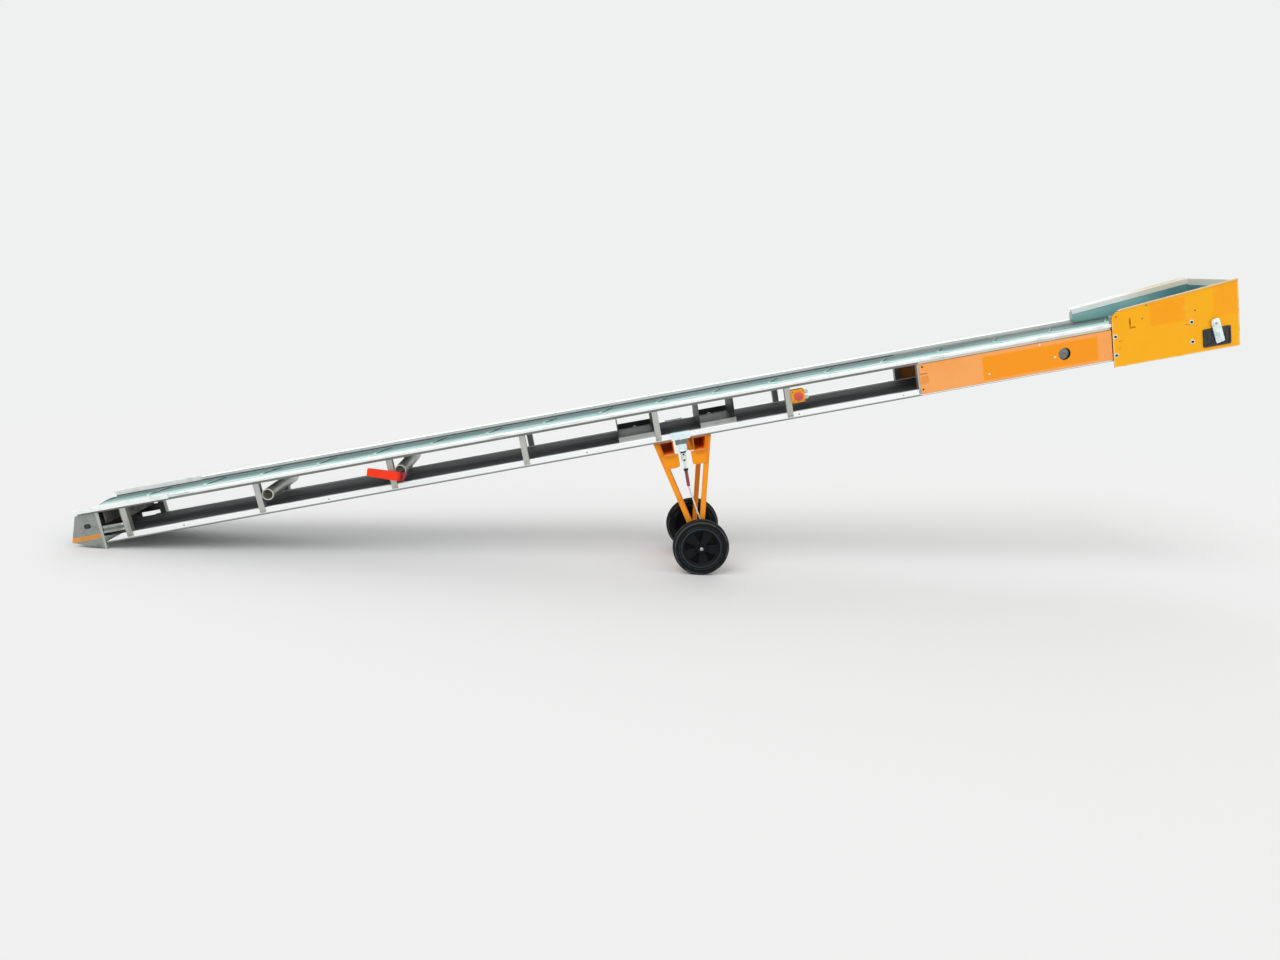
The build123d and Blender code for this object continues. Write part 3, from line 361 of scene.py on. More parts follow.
class Coat:
    """What every finish here shares: a clean colour with a worn one in patches of the given size in mm, a
    roughness that follows the patches, and a fine bump. Real grain and emboss are finer than the render
    shows, so they are drawn grain mm wide. A mask is a socket that gives 1 where a mark lies and 0
    elsewhere. A band is a mask given by its low and high edge and how wide they blur, all in mm."""

    def __init__(self, name, clean, worn, metallic=0.0, rough=(0.4, 0.6), patch=150.0, spread=(0.45, 0.7),
                 grain=2.0, bump=0.1, stretch=(1, 1, 1), shine=0.5):
        self.material = bpy.data.materials.new(name)
        self.material.use_nodes = True
        self.tree = tree = self.material.node_tree
        self.shader = tree.nodes["Principled BSDF"].inputs
        self.shader["Metallic"].default_value = metallic
        self.shader["Specular IOR Level"].default_value = shine
        shift = (-float(ORIGIN @ U_DIR), 0, -float(ORIGIN @ W_DIR))
        spot = add(tree, "TexCoord")["Object"]
        self.spot = add(tree, "Mapping", {"Vector": spot, "Rotation": (0, SLOPE, 0), "Location": shift})[0]
        self.axes = add(tree, "SeparateXYZ", {"Vector": self.spot})
        drawn = add(tree, "Mapping", {"Vector": self.spot, "Scale": stretch})[0]
        self.cloud = add(tree, "TexNoise", {"Vector": drawn, "Scale": 1000 / patch, "Detail": 7.0,
                                            "Roughness": 0.62})["Fac"]
        share = add(tree, "MapRange", {"Value": self.cloud, "From Min": spread[0], "From Max": spread[1]},
                    interpolation_type="SMOOTHSTEP")[0]
        self.colour = add(tree, "Mix", {0: share, 6: tint(clean), 7: tint(worn)}, data_type="RGBA")[2]
        dull = add(tree, "MapRange", {"Value": self.cloud, "From Min": 0.3, "From Max": 0.75,
                                      "To Min": rough[0], "To Max": rough[1]})[0]
        grains = add(tree, "TexNoise", {"Vector": drawn, "Scale": 1000 / grain, "Detail": 2.0,
                                        "Roughness": 0.5})["Fac"]
        relief = add(tree, "Bump", {"Height": grains, "Strength": 1.0, "Distance": bump / 1000})[0]
        tree.links.new(self.colour, self.shader["Base Color"])
        tree.links.new(dull, self.shader["Roughness"])
        tree.links.new(relief, self.shader["Normal"])

    def band(self, value, low, high, soft):
        """The step that a value in metres climbs at low, less the step that it climbs at high."""
        climbs = [add(self.tree, "MapRange", {"Value": value, "From Min": (edge - soft / 2) / 1000,
                                              "From Max": (edge + soft / 2) / 1000},
                      interpolation_type="SMOOTHSTEP")[0] for edge in (low, high)]
        return add(self.tree, "Math", {0: climbs[0], 1: climbs[1]}, operation="SUBTRACT")[0]

    def u(self, *edges):
        """A band along the frame."""
        return self.band(self.axes[0], *edges)

    def y(self, *edges):
        """A band across the frame."""
        return self.band(self.axes[1], *edges)

    def w(self, *edges):
        """A band square to the frame."""
        return self.band(self.axes[2], *edges)

    def out(self, *edges):
        """A band of the distance from the frame's middle plane, the same on both sides."""
        return self.band(add(self.tree, "Math", {0: self.axes[1]}, operation="ABSOLUTE")[0], *edges)

    def about(self, middle, *edges):
        """A band of the distance from a line across the frame through a middle given as u and w in mm."""
        flat = add(self.tree, "VectorMath", {0: self.spot, 1: (1, 0, 1)}, operation="MULTIPLY")[0]
        metres = (middle[0] / 1000, 0, middle[1] / 1000)
        away = add(self.tree, "VectorMath", {0: flat, 1: metres}, operation="DISTANCE")["Value"]
        return self.band(away, *edges)

    def blots(self, size, low, high, stretch=(1, 1, 1)):
        """A mask of irregular blots about size mm across, where a noise lies over low, full at high."""
        drawn = add(self.tree, "Mapping", {"Vector": self.spot, "Scale": stretch})[0]
        noise = add(self.tree, "TexNoise", {"Vector": drawn, "Scale": 1000 / size, "Detail": 4.0,
                                            "Roughness": 0.6})["Fac"]
        return add(self.tree, "MapRange", {"Value": noise, "From Min": low, "From Max": high},
                   interpolation_type="SMOOTHSTEP")[0]

    def beyond(self, mask):
        """1 minus a mask."""
        return add(self.tree, "Math", {0: 1.0, 1: mask}, operation="SUBTRACT")[0]

    def over(self, code, most, *masks):
        """Lays a colour over the finish where all the masks meet. Its share is most, times every mask."""
        share = most
        for mask in masks:
            share = add(self.tree, "Math", {0: share, 1: mask}, operation="MULTIPLY")[0]
        self.colour = add(self.tree, "Mix", {0: share, 6: self.colour, 7: tint(code)}, data_type="RGBA")[2]
        self.tree.links.new(self.colour, self.shader["Base Color"])


def guide_profile():
    """Anodised aluminium extrusion of the guides: pale satin lips. In the open bays the web and shelf under
    them are darkened by painted shade; beside the side cover they are cream, with a painted shadow line just
    above the cover's top edge. Painted orange-brown shade fills the hook slot that the hopper's side leaves
    open in front of the lip."""
    coat = Coat("anodised_guide_extrusion", "#F6F9F8", "#E0E5E3", metallic=1.0, rough=(0.36, 0.55), patch=220,
                spread=(0.5, 0.8), grain=1.2, bump=0.03, stretch=(0.25, 1, 1))
    under_lip, shielded = coat.w(100, 175.6, 1.0), coat.u(COVER_LOW, 6100, 4)
    # Painted shade under the lip in the open bays; beside the side cover the web is cream
    coat.over("#6B6F6C", 0.92, under_lip, coat.beyond(shielded))
    coat.over("#CFC8BA", 0.75, under_lip, shielded)
    # Painted shadow line just above the side cover's top edge
    coat.over("#4A3A2C", 0.9, shielded, coat.w(150, 163.5, 1.5))
    coat.over("#A4AAA7", 0.4, coat.out(206, 222, 2), coat.blots(50, 0.56, 0.66, stretch=(0.2, 1, 1)))
    coat.over("#CBEDE8", 0.85, coat.out(150, 199.5, 3), coat.w(176.5, 196.5, 2))
    # Painted orange-brown shade of the hook slot, laid on the lip behind it
    coat.over("#B8741C", 1.0, coat.u(5420, 5475, 1), coat.out(218.5, 222, 0.5))
    return coat.material


def chord_profile():
    """Anodised aluminium tube of the bottom chords: bright, its low edge darkened by painted shade, widest
    before the side cover, and its inner side in the frame's shade."""
    coat = Coat("anodised_chord_tube", "#FAFCFC", "#E6EAE9", metallic=1.0, rough=(0.38, 0.55), patch=240,
                spread=(0.5, 0.8), grain=1.2, bump=0.03, stretch=(0.2, 1, 1))
    # Painted shade along the low edge, wider before the side cover
    coat.over("#5E615D", 0.85, coat.w(-5, 2.6, 1.4))
    coat.over("#6A6E6C", 0.8, coat.u(-300, COVER_LOW, 4), coat.w(-5, 8.5, 4.0))
    coat.over("#B4B5AF", 0.3, coat.blots(26, 0.66, 0.74))
    coat.over("#8A8D89", 0.6, coat.out(100, 189.5, 1.5))
    return coat.material


def post_profile():
    """Mill-finish aluminium tube of the posts: greyer and rougher than the anodised extrusions, darkened by
    painted shade on the faces between its laps, and dusty at its foot."""
    coat = Coat("mill_finish_post_tube", "#BDBEB8", "#A3A49D", metallic=1.0, rough=(0.5, 0.68), patch=60,
                grain=1.6, bump=0.05, stretch=(1, 1, 0.25))
    # Painted shade on the faces between the laps
    coat.over("#83847D", 0.75, coat.out(170, 214.6, 0.8))
    coat.over("#7C7A70", 0.5, coat.w(0, 34, 12), coat.blots(12, 0.5, 0.62))
    return coat.material


def bed_sheet():
    """Mill-finish aluminium sheet of the slide bed: dull grey, dark with dust from below."""
    coat = Coat("mill_finish_bed_sheet", "#8D918E", "#767A77", metallic=1.0, rough=(0.5, 0.7), patch=120,
                grain=1.5, bump=0.04, stretch=(0.15, 1, 1))
    coat.over("#5F625E", 0.5, coat.blots(40, 0.55, 0.7))
    return coat.material


def tray_sheet():
    """Folded aluminium trays: grey sheet, darkened by painted shade inside and high up, with a painted
    highlight on the lips.
    """
    coat = Coat("folded_aluminium_tray", "#A6A9A5", "#858883", metallic=1.0, rough=(0.45, 0.65), patch=200,
                grain=1.5, bump=0.05)
    # Painted shade high up and inside the trays
    coat.over("#3C3F3E", 0.8, coat.w(66, 200, 14))
    coat.over("#4C5050", 0.85, coat.out(-10, 208.4, 0.6))
    # Painted highlight on the lips
    coat.over("#C4C8C6", 0.6, coat.w(30, 44, 3), coat.out(208.4, 230, 0.6))
    return coat.material


def tube_metal():
    """Mill-finish aluminium tube with saw-cut ends: pale grey, its bore paler still."""
    coat = Coat("mill_finish_round_tube", "#CDCEC8", "#B2B3AD", metallic=1.0, rough=(0.45, 0.62), patch=50,
                grain=1.3, bump=0.04, stretch=(1, 0.2, 1))
    for u in TUBES_U:
        coat.over("#E4E2D8", 0.9, coat.about((u, TUBE_W), -10, 26.0, 1.0), coat.out(-300, 211.5, 1.0))
    return coat.material


def channel_sheet():
    """Galvanised cross channel over the discharge drum: grey-brown under matt dust."""
    return Coat("dusty_galvanised_channel", "#8E8A80", "#6E6A62", rough=(0.6, 0.8), patch=40, grain=2.0,
                bump=0.05).material


def foot_plate():
    """Grey painted steel of the foot plates: matt, with a plain orange warning stripe that browns in places,
    a paler flange along its rear edge, dirt along its low one, and painted shade on its inner face."""
    coat = Coat("grey_painted_steel_plate", "#8E948F", "#7E837E", rough=(0.45, 0.7), patch=45, grain=2.0,
                bump=0.08)
    face = coat.out(212.6, 220, 0.4)
    stripe = (coat.w(31, 54, 2.5), coat.u(-64, 84, 5), face)
    coat.over("#E8942A", 0.95, *stripe)
    coat.over("#B98245", 0.6, *stripe, coat.blots(60, 0.46, 0.7))
    coat.over("#5B564E", 0.6, coat.w(-60, 2, 30), coat.blots(18, 0.42, 0.58))
    coat.over("#5F635F", 0.6, coat.blots(9, 0.66, 0.72), face)
    coat.over("#A9AEA9", 0.3, coat.out(209.6, 212.7, 0.3))
    coat.over("#C2C6BF", 0.6, coat.u(88, 120, 3), face)
    # Painted shade on the inner face
    coat.over("#3D403E", 0.85, coat.out(100, 209.4, 0.5))
    return coat.material


def white_cap():
    """Textured white polyethylene of the caps: matt and bright, greyed and tinged green in blots where
    material rubs over it."""
    coat = Coat("textured_white_polyethylene", "#F7FAF9", "#E2E8E5", rough=(0.5, 0.72), patch=30, grain=1.6,
                bump=0.25)
    coat.over("#BEC4C0", 0.3, coat.blots(16, 0.64, 0.74))
    coat.over("#CFE4E0", 0.4, coat.blots(26, 0.56, 0.68, stretch=(0.3, 1, 1)))
    return coat.material


def belt_cover():
    """Mint PVC belt cover: a matt plastic with a fabric's fine emboss. It is pale towards the near side and
    dark towards the far one, in long streaks. Painted shade darkens both edges along the guides and the
    cleats between the middle and the far side."""
    coat = Coat("mint_pvc_belt_cover", "#CDEBE4", "#BEE0D9", rough=(0.5, 0.72), patch=120, grain=3.0,
                bump=0.12, stretch=(0.3, 1, 1))
    # The border between pale and dark wanders by up to 90 mm with the wear's patches
    wander = add(coat.tree, "Math", {0: coat.cloud, 1: 0.09}, operation="MULTIPLY")[0]
    across = add(coat.tree, "Math", {0: coat.axes[1], 1: wander}, operation="ADD")[0]
    coat.over("#769B9A", 0.85, coat.band(across, 48, 400, 90))
    coat.over("#40605F", 0.85, coat.band(across, 118, 400, 70))
    coat.over("#3F5C5B", 0.8, coat.blots(38, 0.50, 0.60, stretch=(0.035, 1.6, 1)), coat.y(0, 400, 120))
    coat.over("#EAF6F2", 0.7, coat.blots(30, 0.55, 0.66, stretch=(0.04, 1.4, 1)), coat.y(-300, 30, 60))
    coat.over("#8FA5A2", 0.4, coat.blots(60, 0.60, 0.72, stretch=(0.3, 1, 1)))
    # Painted shade along both edges, by the guides
    coat.over("#44504F", 0.8, coat.out(166, 200, 12))
    # Painted shade on the cleats between the middle and the far side
    coat.over("#34494A", 0.7, coat.w(173.0, 178.4, 0.6), coat.y(8, 92, 30))
    coat.over("#474F50", 0.85, coat.w(-200, 130, 30))
    return coat.material


def belt_ply():
    """Dark polyester belt fabric: a plain weave, polished in long streaks by the rollers."""
    coat = Coat("dark_polyester_belt_fabric", "#4C5153", "#3F4446", rough=(0.7, 0.88), patch=90, grain=4.0,
                bump=0.15, stretch=(0.3, 1, 1))
    coat.over("#6C7173", 0.5, coat.blots(60, 0.52, 0.66, stretch=(0.1, 1.2, 1)))
    return coat.material


def cover_sheet_paint():
    """Powder-coated sheet of the side covers: orange bleached to salmon, with a deeper rectangle where a
    panel shielded it, and brown marks near its lower end. It is slightly glossy with orange peel, and painted
    shade darkens its inner face."""
    coat = Coat("sun_bleached_orange_powder_coat", "#FFAC60", "#FDA352", rough=(0.38, 0.55), patch=260,
                spread=(0.4, 0.75), grain=2.5, bump=0.05, shine=0.25)
    face = coat.out(219.4, 224, 0.4)
    coat.over("#FF9A00", 0.96, coat.u(4668, 5265, 7), coat.w(22, 143, 7))
    coat.over("#EF8E3C", 0.7, coat.u(4346, 4386, 4), coat.w(60, 101, 4))
    coat.over("#7A4A22", 0.85, coat.u(4343, 4380, 3), coat.w(110, 114, 1.5), face)
    coat.over("#C27A36", 0.5, coat.blots(11, 0.67, 0.74))
    coat.over("#EE9748", 0.35, coat.blots(70, 0.56, 0.75, stretch=(1, 1, 0.3)))
    coat.over("#B98A5C", 0.6, coat.beyond(coat.w(10.2, 160.8, 1.4)), face)
    # Painted shade on the inner face
    coat.over("#B9792E", 0.5, coat.out(100, 219.2, 0.4))
    return coat.material


def hopper_paint():
    """Powder-coated steel of the hopper: warm orange, deeper in the two rectangles that panels once covered,
    pale in blots along its edges and scratched beside its bolts. Its inner face is darkened by painted shade,
    and behind the hook's slot the sheet is painted lighter, a painted light against the slot's shade."""
    coat = Coat("orange_powder_coated_hopper", "#FFB406", "#FFAC12", rough=(0.36, 0.54), patch=230,
                spread=(0.4, 0.75), grain=2.5, bump=0.05, shine=0.25)
    face, inside = coat.out(223.4, 226, 0.3), coat.out(100, 223.2, 0.2)
    coat.over("#FFA400", 0.95, coat.u(5540, 5722, 14), coat.w(146, 262, 9))
    coat.over("#FFA400", 0.75, coat.u(5866, 6030, 30), coat.w(136, 400, 30), face)
    pale_edge_blots = coat.blots(30, 0.34, 0.5)
    low_edge, back_edge = coat.beyond(coat.w(-28.0, 600, 1.6)), coat.u(5994.5, 6010, 1.6)
    front_edge = coat.beyond(coat.u(5347.5, 7000, 1.6))
    for edge in (low_edge, back_edge, front_edge):
        coat.over("#F3D9A6", 0.75, edge, pale_edge_blots, face)
    for start, stop, w in ((5372, 5392, 98), (5712, 5742, 121), (5370, 5380, 60)):
        coat.over("#A6631C", 0.8, coat.u(start, stop, 4), coat.w(w - 1.6, w + 1.6, 1.4), face)
    coat.over("#B87526", 0.6, coat.blots(8, 0.70, 0.75))
    coat.over("#FFBC3C", 0.4, coat.blots(60, 0.56, 0.72, stretch=(0.5, 1, 1)))
    # Painted shade on the inner face
    coat.over("#A8620F", 0.7, inside, coat.u(5300, 5995.5, 1))
    # Painted light: the sheet behind the hook's slot is lightened against the slot's shade
    coat.over("#F09A1C", 0.7, inside, coat.u(5400, 5500, 1), coat.w(140, 215, 1))
    return coat.material


def leg_paint():
    """Orange gloss enamel on welded steel tube: deeper than the sheets, darkened by painted shade on its
    inner faces, chipped, and dusty low down."""
    coat = Coat("orange_gloss_enamel", "#FF9C00", "#F79002", rough=(0.28, 0.44), patch=120, grain=3.0,
                bump=0.05, shine=0.3)
    # Painted shade on the inner faces
    coat.over("#DF7C02", 0.7, coat.out(100, 186.4, 2.5))
    coat.over("#6C4A2A", 0.7, coat.blots(9, 0.69, 0.75))
    coat.over("#D98714", 0.35, coat.blots(60, 0.55, 0.75))
    coat.over("#8E6A3A", 0.5, coat.w(-700, -500, 60), coat.blots(14, 0.5, 0.62))
    return coat.material


def beam_paint():
    """The same enamel on the folded cross beams, dull and darkened for both dirt and painted shade. The walls
    inside them are painted paler as painted light. The enamel is brown where it has chipped, and rubbed along
    the low lip."""
    # The base colour is darkened for dirt and painted shade
    coat = Coat("enamel_and_brown_primer", "#E07A04", "#CC6C08", rough=(0.65, 0.8), patch=80, grain=3.0,
                bump=0.05, shine=0.05)
    away = add(coat.tree, "Math", {0: coat.axes[0], 1: CARRIAGE_U / 1000}, operation="SUBTRACT")[0]
    away = add(coat.tree, "Math", {0: away}, operation="ABSOLUTE")[0]
    # The beams' outer wall leans with the legs: it draws in by LEG_SPREAD / AXLE_DROP of the height
    lean = add(coat.tree, "Math", {0: coat.axes[2], 1: LEG_SPREAD / AXLE_DROP}, operation="MULTIPLY")[0]
    slant = add(coat.tree, "Math", {0: away, 1: lean}, operation="SUBTRACT")[0]
    # Painted light: the walls inside the beams are painted paler against their shade
    coat.over("#FF9838", 0.92, coat.band(away, 53.0, 300, 1.0), coat.band(slant, 0, 122.6, 1.0),
              coat.w(-71.0, -3.0, 1.0))
    coat.over("#5E3412", 0.6, coat.blots(12, 0.62, 0.7))
    coat.over("#E2A878", 0.8, coat.w(-75, -69.6, 0.8), coat.out(209, 213, 0.8))
    return coat.material


def teal_lining():
    """Teal polyurethane sheet that lines the hopper: satin, scuffed pale where material slides, its front
    edge worn to a pale line. Painted light makes it paler towards the open front, and painted shade darker
    towards the back corner."""
    coat = Coat("teal_polyurethane_lining", "#6FA6A8", "#8ABDBC", rough=(0.42, 0.62), patch=160,
                spread=(0.4, 0.7), grain=2.0, bump=0.06, stretch=(0.4, 1, 1))
    coat.over("#A9C9C8", 0.4, coat.blots(40, 0.6, 0.7, stretch=(0.3, 1, 1)))
    # Painted light towards the open front
    coat.over("#A0CFC8", 0.6, coat.u(5300, 5520, 220))
    # Painted shade towards the back corner
    coat.over("#3C7886", 0.7, coat.u(5800, 6010, 260))
    coat.over("#C4E4DE", 0.8, coat.u(5300, 5342, 5))
    coat.over("#4E7472", 0.4, coat.w(100, 178, 6))
    return coat.material


def pale_rim():
    """Off-white nylon edge strip over the lining: satin, stained orange along its outer side, rusty in
    spots and beige towards the back."""
    coat = Coat("off_white_nylon_edge_strip", "#FFFFFE", "#FAF8F0", rough=(0.45, 0.62), patch=50, grain=2.0,
                bump=0.06)
    coat.over("#EFAE4E", 0.9, coat.out(226.6, 240, 1.6))
    coat.over("#A9845A", 0.5, coat.blots(12, 0.66, 0.72))
    coat.over("#D8C9A4", 0.6, coat.u(5700, 6010, 240))
    return coat.material


def zinc_plate(name, clean, worn):
    """Zinc-plated steel, slightly cloudy: bright, or dull, dusty or rusty by its colours."""
    coat = Coat(name, clean, worn, metallic=1.0, rough=(0.28, 0.46), patch=25, grain=1.5, bump=0.04)
    coat.over("#8F938C", 0.35, coat.blots(14, 0.62, 0.74))
    return coat.material


def dark_steel():
    """Black oxide steel of nuts, hooks and studs: dull, worn bright at its corners."""
    return Coat("black_oxide_steel", "#2C2F30", "#45494A", metallic=1.0, rough=(0.4, 0.6), patch=8, grain=1.0,
                bump=0.03).material


def bright_steel():
    """Turned steel of axles and spacers: grey, brushed round, lightly oiled."""
    return Coat("turned_bright_steel", "#B9BBC0", "#97999C", metallic=1.0, rough=(0.25, 0.42), patch=20,
                grain=1.0, bump=0.04).material


def drum_lagging():
    """Black rubber lagging on the drums: dull, dusty. Their steel shafts are as dark with oil and dirt."""
    return Coat("black_rubber_lagging", "#2B2E30", "#3A3C3B", rough=(0.7, 0.85), patch=30, grain=3.0,
                bump=0.3).material


def black_moulding():
    """Glass-filled black nylon, injection moulded: matt with a faint sheen and grey scuffs."""
    coat = Coat("black_glass_filled_nylon", "#23272A", "#33383B", rough=(0.42, 0.6), patch=25, grain=1.5,
                bump=0.05)
    coat.over("#5A5F60", 0.4, coat.blots(10, 0.66, 0.74))
    return coat.material


def hub_nylon():
    """Black nylon of the wheel hubs: bluish grey on the ribs, its pockets darkened by painted shade and the
    rim's raised edge grey."""
    coat = Coat("blue_black_nylon_hub", "#111318", "#16191F", rough=(0.5, 0.65), patch=30, grain=1.5,
                bump=0.05, shine=0.12)
    # Painted shade in the pockets
    coat.over("#010102", 0.95, coat.out(240, 252.4, 3.0), coat.about(AXLE, 27, 96, 1.0))
    coat.over("#3A434A", 0.85, coat.about(AXLE, 100.0, 106.4, 1.6), coat.out(262, 300, 1.0))
    coat.over("#2A2F35", 0.4, coat.blots(12, 0.62, 0.72), coat.out(258, 300, 1))
    return coat.material


def tyre_rubber():
    """Solid black rubber: dull, greyed by road dust on the tread, and along the shoulder by a patchy painted
    highlight.
    """
    coat = Coat("solid_black_rubber", "#0E1112", "#141718", rough=(0.65, 0.8), patch=35, grain=2.0, bump=0.12,
                shine=0.15)
    # Painted highlight along the shoulder, broken into patches
    coat.over("#4A5052", 0.8, coat.about(AXLE, 134, 141, 4), coat.blots(60, 0.36, 0.55))
    coat.over("#2E3437", 0.7, coat.about(AXLE, 110, 118, 3), coat.blots(50, 0.42, 0.6))
    coat.over("#4A4842", 0.5, coat.about(AXLE, 145.8, 160, 1), coat.blots(22, 0.42, 0.62))
    return coat.material


def red_handle():
    """Red vinyl-coated steel of the hand lever: soft plastic gloss, its bevel darkened by painted shade and
    its end pink.
    The marks are bands along the bar, whose axes are moved to its seat and turned with it."""
    coat = Coat("red_vinyl_coating", "#FF3A12", "#F8340E", rough=(0.4, 0.55), patch=30, grain=2.0, bump=0.06,
                shine=0.25)
    seat = (-LEVER_U / 1000, 0, -LEVER_W / 1000)
    turn = add(coat.tree, "Mapping", {"Vector": coat.spot, "Location": seat})[0]
    turn = add(coat.tree, "Mapping", {"Vector": turn, "Rotation": (0, radians(LEVER_TILT), 0)})[0]
    along = add(coat.tree, "SeparateXYZ", {"Vector": turn})[0]
    # Painted shade on the bevel at the upper end, with a darker band before it
    coat.over("#C81E0C", 0.5, coat.band(along, 33, 52, 12))
    coat.over("#8E0A12", 0.9, coat.band(along, 45, 90, 9))
    coat.over("#A8485E", 0.85, coat.band(along, 60, 90, 8))
    coat.over("#A8301F", 0.4, coat.blots(10, 0.66, 0.74))
    return coat.material


def grip_vinyl():
    """Dark red dipped vinyl of the latch's grip: worn and dusty."""
    coat = Coat("dark_red_dipped_vinyl", "#97404C", "#7C3440", rough=(0.45, 0.62), patch=15, grain=1.0,
                bump=0.04)
    coat.over("#C68E93", 0.5, coat.blots(8, 0.6, 0.7))
    return coat.material


def switch_yellow():
    """Yellow-orange polycarbonate of the switch box: smooth, slightly faded."""
    coat = Coat("yellow_polycarbonate", "#FFA51E", "#F89B1C", rough=(0.38, 0.52), patch=25, grain=1.0,
                bump=0.02, shine=0.3)
    coat.over("#B97722", 0.4, coat.blots(9, 0.66, 0.74))
    return coat.material


def button_red():
    """Faded red ABS of the stop button: satin."""
    return Coat("faded_red_abs", "#D24B4A", "#CB5F62", rough=(0.4, 0.55), patch=15, grain=1.0,
                bump=0.02).material


def grey_moulding():
    """Light grey polyamide of cable glands and return rollers: matt."""
    return Coat("light_grey_polyamide", "#CFD3D0", "#B3B7B3", rough=(0.5, 0.65), patch=12, grain=1.0,
                bump=0.02).material


guided, chorded, posted, bedded = guide_profile(), chord_profile(), post_profile(), bed_sheet()
trayed, tubed, channelled, footed = tray_sheet(), tube_metal(), channel_sheet(), foot_plate()
capped, covered, plied, salmon = white_cap(), belt_cover(), belt_ply(), cover_sheet_paint()
hoppered, enamel, primed, lined = hopper_paint(), leg_paint(), beam_paint(), teal_lining()
rimmed, darkened, steel, lagged = pale_rim(), dark_steel(), bright_steel(), drum_lagging()
nylon, hubbed, rubber, vinyl = black_moulding(), hub_nylon(), tyre_rubber(), red_handle()
gripped, boxed, buttoned, gland_grey = grip_vinyl(), switch_yellow(), button_red(), grey_moulding()
zinc = zinc_plate("bright_zinc_plated_steel", "#E2ECEB", "#C3D0CE")
saddled = zinc_plate("polished_zinc_saddle", "#EAF8FA", "#D2E6E8")
jawed = zinc_plate("dusty_steel_jaw", "#7C8482", "#636A68")
strapped = zinc_plate("dull_zinc_strap", "#A4A8A3", "#8A8E88")
rusted = zinc_plate("rusty_plated_rivet", "#97785A", "#7A5638")

FINISHES = {
    "axle": steel, "axle_beam": enamel, "axle_nuts": darkened, "axle_spacers": steel, "belt": covered,
    "cable_glands": gland_grey, "carrying_tubes": tubed, "clamp_grip": gripped, "clamp_saddles": saddled,
    "cross_beams": primed, "cross_channel": channelled, "discharge_bearing_blocks": nylon,
    "discharge_drum": lagged, "discharge_straps": strapped, "feed_bearing_blocks": nylon,
    "feed_drum": lagged, "hand_lever": vinyl, "hopper_back": hoppered, "release_rod": steel,
    "return_rollers": gland_grey, "slide_bed": bedded, "stiffening_trays": trayed, "stop_button": buttoned,
    "stop_switch_box": boxed, "tensioner_bars": zinc, "tensioner_plates": nylon, "toggle_clamp": zinc,
}
PAIRED_FINISHES = {
    "chord": chorded, "discharge_plate": footed, "edge_cap": capped, "guide": guided, "hopper_liner": lined,
    "hopper_side": hoppered, "hub": hubbed, "leg_frame": enamel, "posts": posted, "side_cover": salmon,
    "tyre": rubber,
}
for name, _ in SIDES:
    FINISHES |= {f"{piece}_{name}": finish for piece, finish in PAIRED_FINISHES.items()}
for name, finish in FINISHES.items():
    nodes[name].data.materials.clear()
    nodes[name].data.materials.append(finish)

# Belt: a closed loop over both drums, its cover outside and its fabric inside
RUN = FEED_U - DISCHARGE_U
WRAP = np.pi * BELT_OUT
LOOP = 2 * RUN + 2 * WRAP
COVER_T = 1.4
# A cleat is CLEAT_RISE high, twice CLEAT_HALF wide at its foot, and its point leads its tips by CLEAT_POINT
CLEATS, CLEAT_RISE, CLEAT_HALF, CLEAT_POINT = 40, 7.6, 8.5, 70.0
# The lower run's sag between two rollers, and the stretch beside each drum in which it grows from nothing
SAG, SAG_START = 4.0, 500.0


def belt_point(travel, y, h):
    """The loop at travel mm from the top of the feed drum, y across and h over the cover: two straight runs
    and two half circles. The lower run hangs by a sine squared between the return rollers."""
    travel, y, h = np.broadcast_arrays(np.asarray(travel, float), y, h)
    r = BELT_OUT + h
    t = np.mod(travel, LOOP)
    turn_low, turn_high = (t - RUN) / BELT_OUT, (t - 2 * RUN - WRAP) / BELT_OUT
    back = t - RUN - WRAP
    ends = np.clip(back / SAG_START, 0, 1) * np.clip((RUN - back) / SAG_START, 0, 1)
    sag = SAG * np.sin(np.pi * (back + DISCHARGE_U - ROLLER_FIRST) / ROLLER_PITCH) ** 2 * ends
    parts = [t < RUN, t < RUN + WRAP, t < 2 * RUN + WRAP]
    u = np.select(parts, [FEED_U - t, DISCHARGE_U - r * np.sin(turn_low), DISCHARGE_U + back],
                  FEED_U + r * np.sin(turn_high))
    w = np.select(parts, [DRUM_W + r, DRUM_W + r * np.cos(turn_low), DRUM_W - r - sag],
                  DRUM_W - r * np.cos(turn_high))
    return place(u, y, w)


def belt_band(half, low, high):
    """One layer of the belt: a flat rectangle with round edges carried once round the loop."""
    t = np.linspace(-np.pi / 2, np.pi / 2, 5)
    mid, thick = (low + high) / 2, (high - low) / 2
    y = np.concatenate([half - thick + thick * np.cos(t), np.linspace(half - thick, thick - half, 9)[1:-1],
                        thick - half - thick * np.cos(t)])
    h = np.concatenate([mid + thick * np.sin(t), np.full(7, high), mid - thick * np.sin(t)])
    y, h = np.append(y, y[0]), np.append(h, h[0])
    straight, arc = np.linspace(0, RUN, 121), np.linspace(0, WRAP, 25)
    travel = np.concatenate([straight, RUN + arc[1:], RUN + WRAP + straight[1:], 2 * RUN + WRAP + arc[1:]])
    return belt_point(travel[:, None], y[None], h[None])


